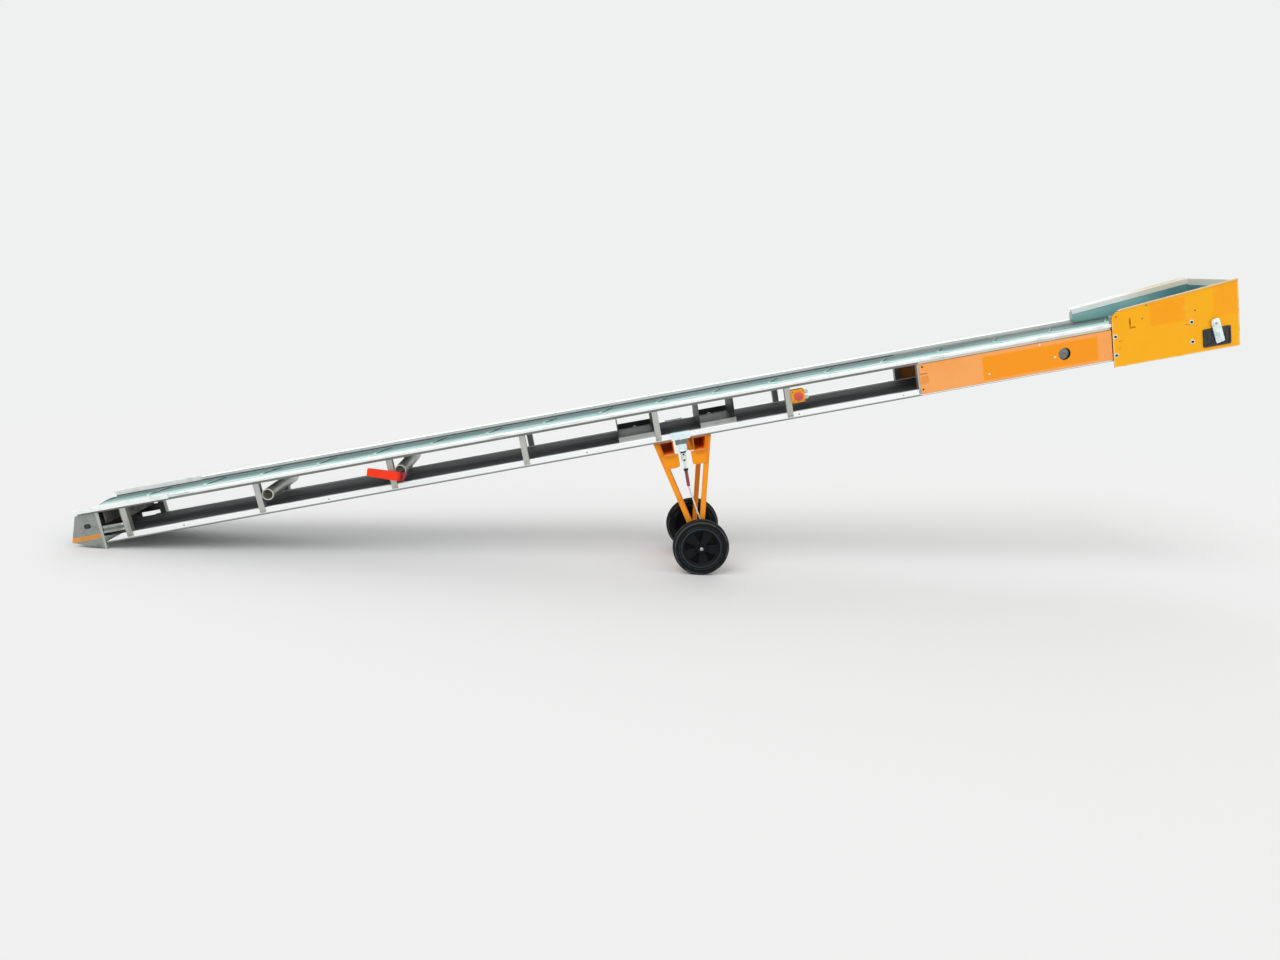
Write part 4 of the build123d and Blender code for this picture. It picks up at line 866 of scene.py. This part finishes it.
def cleat(travel):
    """A chevron ridge: a rounded trapezium carried along a V, falling off at its two tips. Its points are q
    across the ridge and a share of its height."""
    v = np.linspace(-1, 1, 41)[:, None]
    q = np.array([-1, -0.86, -0.62, -0.3, 0.3, 0.62, 0.86, 1, 0, -1])[None]
    rise = np.array([-0.15, 0.35, 0.85, 1, 1, 0.85, 0.35, -0.15, -0.2, -0.15])[None]
    reach = BELT_HALF - 50
    height = CLEAT_RISE * (1 - np.abs(v) ** 14)
    s = travel - CLEAT_POINT * np.abs(v) + CLEAT_HALF * q
    grid = belt_point(s, v * reach, np.maximum(height * rise, -1.2))
    tips = [np.broadcast_to(grid[i, 8], (1, 10, 3)) for i in (0, -1)]
    return np.concatenate([tips[0], grid, tips[1]])


cleats = [cleat((k + 0.5) * LOOP / CLEATS) for k in range(CLEATS)]
make("belt_cover", [belt_band(BELT_HALF, -COVER_T, 0.0), *cleats], covered, stands_for=["belt"])
make("belt_fabric", [belt_band(BELT_HALF - 0.6, -BELT_T, -COVER_T - 0.05)], plied)

# Return rollers: a thin shaft with a rounded disc near each edge of the belt, as (height, radius) profiles
SHAFT = [(-188, 0), (-188, 4.4), (-187.4, 5), (187.4, 5), (188, 4.4), (188, 0)]
DISC = [(154, 5), (154, 11), (155, 13.8), (157.5, 15), (164, 14.6), (170, 14.6), (176.5, 15), (179, 13.8),
        (180, 11), (180, 5), (154, 5)]
rollers = []
for u in ROLLER_FIRST + ROLLER_PITCH * np.arange(4):
    rollers.append(turned(SHAFT, view_plane(FAR, u, ROLLER_W), 16))
    rollers += [turned(DISC, view_plane(side, u, ROLLER_W), 28) for side in (NEAR, FAR)]
make("roller_set", rollers, gland_grey, stands_for=["return_rollers"])


def hopper_top(u):
    """Height of the hopper's upper edge at u."""
    return HOPPER_TOP + HOPPER_RISE * (u - HOPPER_FRONT)


# Profiles of small fixings as (height, radius), standing at 0
PAN_HEAD = [(-0.2, 0), (-0.2, 5.0), (0.5, 4.8), (1.4, 3.6), (1.8, 2.2), (1.8, 1.6), (1.0, 1.4), (1.0, 0)]
WASHER = [(0, 0), (0, 11.5), (1, 11.5), (1.5, 10.8), (1.5, 0)]
CAP_NOSE_U, CAP_END_U, CAP_SLANT = -10, 476, 16
LINER_LOW_W, LINER_IN, LINER_OUT = 172, 194, 196

for name, side in SIDES:
    # Caps over the lips at the discharge end, their noses cut on the slant
    lip = np.array([(200.7, 173.3), (200.7, 193.5), (201.3, 195.8), (203.2, 197.0), (205.0, 197.3),
                    (212, 197.3), (219.0, 197.3), (220.8, 197.0), (222.7, 195.8), (223.3, 193.5),
                    (223.3, 173.3)])
    nose = CAP_NOSE_U + CAP_SLANT * np.clip((194.3 - lip[:, 1]) / 21, 0, 1)
    cap = folded(lip[::-1], -3.0, nose[::-1], CAP_END_U, cross_plane(side))
    make(f"cap_skin_{name}", [cap], capped, stands_for=[f"edge_cap_{name}"])

    # Side covers: a pressed sheet with its hole and the plate behind it, and its screws and rivets
    plane = view_plane(side)
    sheet = pierced((COVER_LOW, 8), (COVER_HIGH, 163), COVER_HOLE, POST_FACE, COVER_FACE, plane, soft=1.2)
    make(f"cover_sheet_{name}", [sheet], salmon, stands_for=[f"side_cover_{name}"])
    for kind, finish, places in (("screws", darkened, ((4358, 148), (4353, 32))),
                                 ("rivets", capped, ((4699, 50), (4967, 152), (5042, 76)))):
        heads = [turned(PAN_HEAD, view_plane(side, u, w, out=COVER_FACE), 20) for u, w in places]
        make(f"cover_{kind}_{name}", heads, finish)
    plug = slab(ring(36, 36), 206, 208, view_plane(side, *COVER_HOLE[:2]))
    make(f"cover_plug_{name}", [plug], jawed)

    # Web between the two straps, which makes them one channel
    web = slab(box(148, 14.6, 0.6, 141, 71), 204.6, 207.2, plane, soft=0.5)
    make(f"strap_web_{name}", [web], jawed)

    # Rivets that hold the posts' laps to the chords, and lone rivets in the chords
    rivets = [turned(dome(4.6, 1.9, POST_FACE), view_plane(side, u + shift, w), 16)
              for u in POSTS_U[:6] for shift in (-7, 7) for w in (24, 156)]
    lone = (508, 1260, 2600, 3705, 4250)
    rivets += [turned(dome(4.0, 1.7, CHORD_FACE), view_plane(side, u, 20), 16) for u in lone]
    make(f"post_rivets_{name}", rivets, posted)

    # Hopper: rivets in its side sheet
    rivets = [turned(dome(4.6, 2.0, HOPPER_FACE - 0.1), view_plane(side, u, w), 18)
              for u, w in ((5366, 225), (5524, 257), (5499, 193), (5773, 187))]
    make(f"hopper_rivets_{name}", rivets, rusted)
    # Sheet behind the slot that the hook goes through, above and below the guide's lip
    behind = [slab(box(64, 24.5, 1, 5452, 162.2), 216, 219.7, plane, soft=0.5),
              slab(box(64, 15.5, 1, 5452, 202.2), 216, 219.7, plane, soft=0.5)]
    make(f"hook_backing_{name}", behind, hoppered)
    # Bracket that ties the lining to the side sheet at the front corner
    bracket = slab(box(9, 40, 2, 5345.5, 213), 196, 219.6, plane)
    make(f"corner_bracket_{name}", [bracket], strapped)
    # Four flange bolts on their washers
    washers, bolts = [], []
    for u, w in ((5357, 125), (5357, 29), (5753, 130), (5753, 29)):
        seat = view_plane(side, u, w, out=HOPPER_FACE)
        washers.append(turned(WASHER, seat, 28))
        bolts.append(slab(ring(6.6, 6, start=17.0), 1, 5.5, seat, soft=0.8, steps=3))
        bolts.append(turned(dome(3.4, 1.5, 5.3), seat, 14))
    make(f"hopper_washers_{name}", washers, zinc)
    make(f"hopper_bolts_{name}", bolts, darkened)

    # Hopper lining: an upright sheet with a round lower front corner, and the edge strip over its top. On
    # the near side both start further back, behind the side sheet's round corner.
    liner_front, strip_front, corner = (5335, 5335, 8) if side == FAR else (5372, 5386, 24)
    liner = rounded([(liner_front, LINER_LOW_W), (HOPPER_END, LINER_LOW_W),
                     (HOPPER_END, hopper_top(HOPPER_END)), (liner_front, hopper_top(liner_front))],
                    [48, 1, 1, corner], steps=12)
    liner = slab(liner, LINER_IN, LINER_OUT, plane, soft=0.6, steps=3)
    make(f"liner_sheet_{name}", [liner], lined, stands_for=[f"hopper_liner_{name}"])
    climb = np.array([1.0, 0.0, HOPPER_RISE])
    length = HOPPER_END - 0.6 - strip_front
    strip = ((strip_front, 0, hopper_top(strip_front)), (0, side, 0), (0, 0, 1), tuple(climb))
    bent = [(194.2, -27), (194.2, -0.6), (194.9, 0.4), (196.4, 0.8), (220, 0.8)]
    parts = [folded(bent, -1.8, [12, 3, 2, 1, 0], length, strip)]
    ends = np.array([0, 0.6, 2, 4.5, *np.linspace(8, length - 0.4, 30)])
    path = np.array([strip_front, side * 223.8, hopper_top(strip_front) + 4.4]) + ends[:, None] * climb
    swell = np.concatenate([[0.55, 0.75, 0.9, 0.98], np.ones(30)])
    parts.append(carried(box(9.0, 9.0, 3.6, steps=6), path, swell=swell))
    make(f"liner_rim_{name}", parts, rimmed)

    # Belt tensioner: a black guide with two windows, and the zinc bar that locks it
    seat = view_plane(side, FEED_U, 34)
    parts = [slab(box(146, 94, 9), 224, 228, seat, soft=0.8, steps=3)]
    for a in (-46, 46):
        parts.append(sleeve(box(50, 88, 7, a, 0), box(36, 72, 9, a, 0), 227, 231, seat, soft=1.0))
        parts.append(slab(box(9, 40, 3.5, a, 0), 227, 229.6, seat, soft=1.0, steps=3))
    make(f"tensioner_guide_{name}", parts, nylon, stands_for=["tensioner_plates"])
    seat = view_plane(side, FEED_U, 66, BAR_TILT)
    bar = rounded([(-23, -64), (23, -64), (23, 64), (-23, 64)], [9, 9, 20, 20], steps=8)
    screw_seat = lifted(seat, 0, 38)
    parts = [slab(bar, 231, 237, seat, soft=1.6, steps=5),
             slab(box(30, 58, 8, 0, -26), 236, 239, seat, soft=1.4),
             turned([(236.5, 0), (236.5, 13), (237.6, 13), (238.3, 12.2), (238.3, 0)], screw_seat, 28)]
    make(f"tensioner_bar_{name}", parts, zinc, stands_for=["tensioner_bars"])
    screw = [slab(ring(7.0, 6, start=11.0), 238, 238.9, screw_seat, soft=0.4, steps=3)]
    make(f"tensioner_screw_{name}", screw, strapped)

# Lining of the hopper's back, with a pale strip over its top edge
lining = slab(box(387, 128, 2, 0, 237), 5993.6, 5996.8, cross_plane(), soft=0.6)
make("back_lining", [lining], lined)
bent = [(5993.4, 268), (5993.4, 301.6), (5996.2, 303.2), (6000.6, 303.4)]
make("back_rim", [folded(bent, 1.8, -221, 221, view_plane(FAR))], rimmed)

# Undercarriage. LEG_FALL is a leg's drop for each mm that it draws in, LEG_HALF half its width along u.
LEG_FALL = AXLE_DROP / LEG_SPREAD
LEG_HALF = LEG_TUBE_HALF / cos(np.arctan2(LEG_SPREAD, AXLE_DROP))
LEG_TOP_W, LEG_LOW_W, LEG_OUT = -3, -561.5, 190
GUSSET_TOP_W, GUSSET_LOW_W, GUSSET_OUT = -74, -146, 194
LATCH_U = CARRIAGE_U - 8


def leg_centre(w):
    """Distance of a leg's centre line from the middle of the undercarriage at height w."""
    return LEG_AT_AXLE + (AXLE_DROP + w) / LEG_FALL


# Half of the tyre's section as (height, radius): grooved tread, round shoulder and a lip at the rim
HALF_TYRE = [(0.8, 146.4), (1.5, 147.5), (7, 147.5), (8, 146.2), (10, 146.2), (11, 147.5), (15, 147.5),
             (20, 146), (26, 141.5), (29.6, 134), (30, 127), (29.2, 124), (29.2, 121), (30, 118), (30, 109)]
TYRE = [(-h, r) for h, r in HALF_TYRE[::-1]] + HALF_TYRE + [(-30, 109)]
DISH, POCKET = 7.0, 10.0


def hub_shape(plane):
    """The hub: a closed section turned about the axle. Its face lies DISH deep between boss and rim, and is
    pushed in by POCKET inside five pockets whose sides spread from 10 to 17 degrees either way, with walls
    4 mm wide. The section is in (height, radius) points: the boss, the face, then the rim and the back."""
    reach = np.linspace(27.0, 96.5, 46)
    face = 26.0 - DISH * np.clip((reach - 30) / 8, 0, 1) * np.clip((96.5 - reach) / 9, 0, 1)
    face = np.stack([face, reach], 1)
    boss = [(34, 10.2), (34, 22.6), (33.2, 24.2), (31.4, 25.0), (28.4, 25.3), (26.8, 25.9)]
    rim = [(26.0, 97.6), (28.4, 98.8), (29.3, 100.2), (29.3, 104.8), (28.2, 106.8), (26.0, 108.4),
           (24, 108.7), (-25, 108.7), (-26, 107.6), (-26, 97.8), (-25.2, 97), (4, 96.2), (6, 94), (6, 32),
           (4.6, 27), (-31, 25), (-34, 23), (-34, 10.2), (34, 10.2)]
    section = np.vstack([boss, face, rim])
    h, r = section[:, :1], section[:, 1:]
    t = np.linspace(0, 2 * np.pi, 241)[None]
    # Degrees from the middle of the nearest pocket, the first of which points up
    off = np.mod(np.degrees(t) - 90 + 36, 72) - 36
    inner, outer = 31, 86.5
    half = 10.0 + 7.0 * np.clip((r - inner) / 53, 0, 1)
    wall = np.clip((half - np.abs(off)) * np.pi / 180 * r / 4.0, 0, 1)
    cut = wall * np.clip((r - inner) / 3.5, 0, 1) * np.clip((outer - r) / 3.5, 0, 1)
    on_face = np.zeros((len(section), 1))
    on_face[len(boss):len(boss) + len(face)] = 1
    drop = POCKET * cut * cut * (3 - 2 * cut) * on_face
    return lay(plane, r * np.cos(t), r * np.sin(t), h - drop)


for name, side in SIDES:
    # Legs: two leaning tubes, a gusset on each, and welds along it, under it and at the leg's foot
    plane, parts = view_plane(side, CARRIAGE_U), []
    high, low = leg_centre(LEG_TOP_W), leg_centre(LEG_LOW_W)
    gusset_high, gusset_low = leg_centre(GUSSET_TOP_W), leg_centre(GUSSET_LOW_W)
    lap = LEG_OUT + 1
    beads = [((leg_centre(-78), GUSSET_OUT, -78), (leg_centre(-143), GUSSET_OUT, -143), 2.6),
             ((gusset_low - LEG_HALF - 1, lap, GUSSET_LOW_W - 0.5), (48, lap, GUSSET_LOW_W - 0.5), 2.2),
             ((low - 12, lap, LEG_LOW_W), (low + 9, lap, LEG_LOW_W), 2.6)]
    for end in (-1, 1):
        leg = [(end * (low - LEG_HALF), LEG_LOW_W), (end * (low + LEG_HALF), LEG_LOW_W),
               (end * (high + LEG_HALF), LEG_TOP_W), (end * (high - LEG_HALF), LEG_TOP_W)]
        parts.append(slab(leg[::end], 160, LEG_OUT, plane, soft=4.0, steps=6))
        gusset = [(end * 33, GUSSET_TOP_W), (end * 33, GUSSET_LOW_W), (end * gusset_low, GUSSET_LOW_W),
                  (end * gusset_high, GUSSET_TOP_W)]
        gusset = rounded(gusset, [1, 14, 1, 1], steps=6)
        parts.append(slab(gusset[::end], LEG_OUT, GUSSET_OUT, plane, soft=0.8))
        for *bead, radius in beads:
            parts.append(weld(*[(CARRIAGE_U + end * u, side * y, w) for u, y, w in bead], radius))
    make(f"leg_pair_{name}", parts, enamel, stands_for=[f"leg_frame_{name}"])

    # Saddle: a plate bent over the chord, on the near side with the latch's own plates
    fold = [(213.05, 0.5), (213.05, 33.8), (212.3, 35.5), (210.4, 36.05), (197.5, 36.05)]
    parts = [folded(fold, 3.9, -49, 49, cross_plane(side, LATCH_U))]
    plane = view_plane(side, LATCH_U)
    if side == NEAR:
        parts.append(slab(box(14, 27, 1.5, 0, -11.5), 213, 216, plane, soft=0.6))
        parts.append(slab(box(47, 42, 5, 0, -45), 213, 216.4, plane, soft=1.0))
        parts.append(slab(box(37, 7, 2, 0, -28.5), 216, 218.6, plane, soft=0.8))
    make(f"saddle_{name}", parts, saddled, stands_for=["clamp_saddles"])

    # Wheels
    plane = ((CARRIAGE_U, side * WHEEL_Y, AXLE_W), (side, 0, 0), (0, 0, 1), (0, side, 0))
    body = f"wheel_{name}"
    make(f"tyre_skin_{name}", [turned(TYRE, plane, 96)], rubber, body=body,
         stands_for=[f"tyre_{name}"])
    make(f"hub_skin_{name}", [hub_shape(plane)], hubbed, body=body,
         stands_for=[f"hub_{name}"])
    nut = [slab(ring(14.6, 6, start=10.0), 34.4, 42.2, plane, soft=1.4, steps=4)]
    make(f"nut_{name}", nut, darkened, stands_for=["axle_nuts"])

# Axle with chamfered ends
shaft = [(-280.2, 0), (-280.2, 6.6), (-277.2, 9.9), (277.2, 9.9), (280.2, 6.6), (280.2, 0)]
make("axle_shaft", [turned(shaft, view_plane(FAR, *AXLE), 32)], steel, stands_for=["axle"])

# Latch of the near clamp: body, hook rods, arm, grip with its ribs, and the release rod down to the leg
GRIP_Y, GRIP_RIBS = -205, 7.4
plane = view_plane(NEAR, LATCH_U)
parts = [slab(box(28, 86, 6, 0, -74), 199, 212.8, plane, soft=1.6, steps=5),
         slab(box(18, 44, 5, 0, -92), 212.4, 217.4, plane, soft=1.2),
         slab(box(14, 52, 4, 0, -140), 202, 208, plane, soft=1.4)]
for a in (-9, 9):
    rod = [(LATCH_U + a, y, w) for y, w in ((-215, -104), (-218.6, -88), (-218.6, -62))]
    parts.append(carried(ring(2.4, 10), smooth_path(rod, 14), up=(1, 0, 0)))
pin = [(-13, 0), (-13, 3), (13, 3), (13, 0)]
parts.append(turned(pin, cross_plane(FAR, LATCH_U, -218.6, -61), 14))
make("clamp_jaw", [slab(box(62, 25, 2, 0, -13.5), 196, 217.5, plane)], jawed)
make("latch_body", parts, zinc, stands_for=["toggle_clamp"])
parts = [slab(box(30, 10, 3, 0, -66), 213, 221.5, plane, soft=1.2)]
parts += [turned(dome(5.2, 2.6, 217.2), view_plane(NEAR, LATCH_U, w), 18) for w in (-80, -110)]
collar = [(0, 0), (0, 10), (1.5, 12.4), (4, 13.2), (8, 12.4), (10, 10), (10, 0)]
parts.append(turned(collar, level_plane(LATCH_U, GRIP_Y, -157, up=-1), 28))
make("latch_hook", parts, darkened)
h = np.linspace(1.5, 84, 100)
ribbed = 8.7 + 0.7 * np.sin(h / GRIP_RIBS * 2 * np.pi) * np.clip(np.minimum(h - 8, 80 - h) / 6, 0, 1)
skin = np.vstack([[(0, 0), (0, 7.4)], np.stack([h, ribbed], 1), [(85.6, 6.6), (86, 0)]])
skin = turned(skin, level_plane(LATCH_U, GRIP_Y, -166, up=-1), 28)
make("grip_skin", [skin], gripped, stands_for=["clamp_grip"])
EYE_U, EYE_W = CARRIAGE_U + leg_centre(-480), -477
rod = smooth_path([(LATCH_U, GRIP_Y, -250), (LATCH_U, GRIP_Y, -256), (EYE_U - 1, -194.5, -470)], 26)
eye = lathe_ring(6.0, 2.2, view_plane(NEAR, EYE_U, EYE_W, out=193.6))
make("pull_rod", [carried(ring(4.2, 12), rod), eye], zinc, stands_for=["release_rod"])
held = bolt(view_plane(NEAR, EYE_U, EYE_W), 8, 196.4, base=LEG_OUT)
make("pull_rod_bolt", held, darkened)

# Hand lever: a flat bar that widens upwards. Each level of its side has a height, an inset of the outline
# and a share of the bevel, which draws the upper end in by up to BEVEL, as the square of the way to its tip.
LEVER = [(-121, -19), (61, -23), (79, 23), (-121, 19)]
LEVELS = ((222, 3, 0), (222.6, 1, 0), (224, 0, 0), (228, 0, 0), (236, 0, 0.5), (243, 0.3, 0.94),
          (243.7, 1, 0.98), (244, 2.5, 1))
BEVEL = 24
seat = view_plane(NEAR, LEVER_U, LEVER_W, LEVER_TILT)
outline = rounded(LEVER, [5, 4, 4, 5], steps=6)
normal = mitres(outline, True)
rows = []
for height, inset, share in LEVELS:
    flat = outline - inset * normal
    flat[:, 0] -= BEVEL * share * np.clip((flat[:, 0] - 20) / 40, 0, 1) ** 2
    flat = np.vstack([flat, flat[:1]])
    rows.append(lay(seat, flat[:, 0], flat[:, 1], height))
poles = [np.broadcast_to(lay(seat, -20.0, 0.0, h), rows[0].shape) for h in (222, 244)]
parts = [np.stack([poles[0], *rows, poles[1]])]
parts.append(turned([(217, 0), (217, 9), (222.5, 9), (222.5, 0)], seat, 24))
make("lever_skin", parts, vinyl, stands_for=["hand_lever"])

# Stop switch: box, lid with a seam and screws, mushroom button and glands
SWITCH_U, SWITCH_W = 3710.3, 115.5
seat = view_plane(NEAR, SWITCH_U, SWITCH_W)
parts = [slab(box(68, 65, 5), 182, 219.6, seat, soft=1.2), slab(box(66, 63, 5), 219, 221, seat, soft=0.3),
         slab(box(68, 65, 5), 220.4, 232, seat, soft=2.2, steps=5)]
make("switch_shell", parts, boxed, stands_for=["stop_switch_box"])
parts = [turned([(231, 0), (231, 19), (233.4, 19), (234, 18.4), (234, 0)], seat, 32)]
for a in (-27, 27):
    for b in (-25.5, 25.5):
        parts.append(turned([(231.6, 0), (231.6, 3.4), (232.5, 3.0), (232.5, 0)], lifted(seat, a, b), 14))
make("switch_collar", parts, nylon)
mushroom = [(233.6, 0), (233.6, 14), (240, 14), (240.6, 21), (241.6, 22), (246, 22), (249.5, 20),
            (252, 15.5), (253.6, 8), (254, 0)]
make("mushroom_button", [turned(mushroom, seat, 40)], buttoned,
     stands_for=["stop_button"])
parts = []
for lift in (-14, 14):
    along = cross_plane(FAR, SWITCH_U + 34, -207, SWITCH_W + lift)
    parts.append(slab(ring(10.8, 6), 0, 6, along, soft=0.8, steps=3))
    nut = [(6, 0), (6, 8.2), (8, 8.2), (8.4, 9.8), (15.5, 9.6), (19.5, 7.6), (21.6, 5.4), (22, 4.6),
           (20.2, 4.2), (18.5, 0)]
    parts.append(turned(nut, along, 28))
make("gland_pair", parts, gland_grey, stands_for=["cable_glands"])

# Bolts that show at the discharge end and in the trays
parts = []
for side in (NEAR, FAR):
    parts += [turned(dome(4.2, 1.8, 209), view_plane(side, 205, w), 14) for w in (58, 84)]
    for u in (2866, 3283):
        parts += bolt(level_plane(u, side * 170, 39), 13, 6.5, washer=11)
make("frame_bolts", parts, zinc)

# Stage: a pale floor that fades into the same pale surround
SURROUND = "#EFF1F1"
FLOOR_HALF, FADE_FROM, FADE_TO, LAMP_AWAY = 60.0, 4.0, 12.0, 8.0
# The surround looks as bright as SURROUND, but lights the conveyor only by this share
SURROUND_LIGHT = 0.55
floor_mesh = bpy.data.meshes.new("floor")
floor_corners = [(FLOOR_HALF * x, FLOOR_HALF * y, 0) for x, y in ((-1, -1), (1, -1), (1, 1), (-1, 1))]
floor_mesh.from_pydata(floor_corners, [], [(0, 1, 2, 3)])
floor = bpy.data.objects.new("floor", floor_mesh)
bpy.context.scene.collection.objects.link(floor)
# Uncoated matt paper, as studios roll out: rough and hardly shiny
floor_paper = bpy.data.materials.new("matt_pale_paper")
floor_paper.use_nodes = True
tree = floor_paper.node_tree
shader = tree.nodes["Principled BSDF"]
shader.inputs["Base Color"].default_value = tint("#F4F4F3")
shader.inputs["Roughness"].default_value = 0.9
shader.inputs["Specular IOR Level"].default_value = 0.1
spot = add(tree, "TexCoord")["Object"]
far_off = add(tree, "VectorMath", {0: spot}, operation="LENGTH")["Value"]
fade = add(tree, "MapRange", {"Value": far_off, "From Min": FADE_FROM, "From Max": FADE_TO},
           interpolation_type="SMOOTHSTEP")[0]
glow = add(tree, "Emission", {"Color": tint(SURROUND), "Strength": 1.0})[0]
mixed = add(tree, "MixShader", {0: fade, 1: shader.outputs[0], 2: glow})[0]
tree.links.new(mixed, tree.nodes["Material Output"].inputs["Surface"])
floor_mesh.materials.append(floor_paper)

world = bpy.data.worlds.new("studio")
bpy.context.scene.world = world
world.use_nodes = True
tree = world.node_tree
rays = add(tree, "LightPath")
seen = add(tree, "Math", {0: rays["Is Camera Ray"], 1: rays["Is Glossy Ray"]}, operation="MAXIMUM")[0]
seen = add(tree, "Math", {0: seen, 1: rays["Is Transmission Ray"]}, operation="MAXIMUM")[0]
level = add(tree, "MapRange", {"Value": seen, "To Min": SURROUND_LIGHT, "To Max": 1.0})[0]
ground = tree.nodes["Background"]
ground.inputs["Color"].default_value = tint(SURROUND)
tree.links.new(level, ground.inputs["Strength"])


def soft_sun(name, azimuth, elevation, spread, strength):
    """A wide distant lamp, which lights floor and object evenly: it stands at azimuth degrees round from the
    near side and elevation degrees up, and is spread degrees across."""
    lamp = bpy.data.lights.new(name, "SUN")
    lamp.energy, lamp.angle = strength, radians(spread)
    holder = bpy.data.objects.new(name, lamp)
    bpy.context.scene.collection.objects.link(holder)
    a, e = radians(azimuth), radians(elevation)
    back = np.array([sin(a) * cos(e), -cos(a) * cos(e), sin(e)])
    side = np.cross((0, 0, 1), back)
    side /= np.linalg.norm(side)
    turn = np.eye(4)
    turn[:3, :3] = np.stack([side, np.cross(back, side), back], 1)
    turn[:3, 3] = back * LAMP_AWAY
    holder.matrix_world = Matrix(turn.tolist())


soft_sun("key_lamp", -35, 48, 40, 1.15)
soft_sun("fill_lamp", 50, 35, 70, 0.45)
soft_sun("back_lamp", 170, 50, 60, 0.55)

# Camera, as the photograph was taken: focal length in pixels, place in metres, angles in degrees
WIDTH_PX, FOCAL_PX = 1280, 961.0
CAMERA_PLACE = (-0.3583, -5.0510, 1.5681)
YAW, PITCH_DOWN, ROLL = radians(3.262), radians(12.580), radians(3.281)
camera = bpy.data.cameras.new("photo_camera")
camera.sensor_fit, camera.sensor_width = "HORIZONTAL", 36.0
camera.lens = FOCAL_PX / WIDTH_PX * camera.sensor_width
camera.clip_start, camera.clip_end = 0.1, 300
ahead = np.array([sin(YAW) * cos(PITCH_DOWN), cos(YAW) * cos(PITCH_DOWN), -sin(PITCH_DOWN)])
level_right = np.array([cos(YAW), -sin(YAW), 0.0])
level_up = np.cross(level_right, ahead)
right = cos(ROLL) * level_right + sin(ROLL) * level_up
up = -sin(ROLL) * level_right + cos(ROLL) * level_up
turn = np.eye(4)
turn[:3, :3] = np.stack([right, up, -ahead], 1)
turn[:3, 3] = CAMERA_PLACE
tripod = bpy.data.objects.new("photo_camera", camera)
bpy.context.scene.collection.objects.link(tripod)
tripod.matrix_world = Matrix(turn.tolist())
bpy.context.scene.camera = tripod
bpy.context.scene.view_settings.view_transform = "Standard"
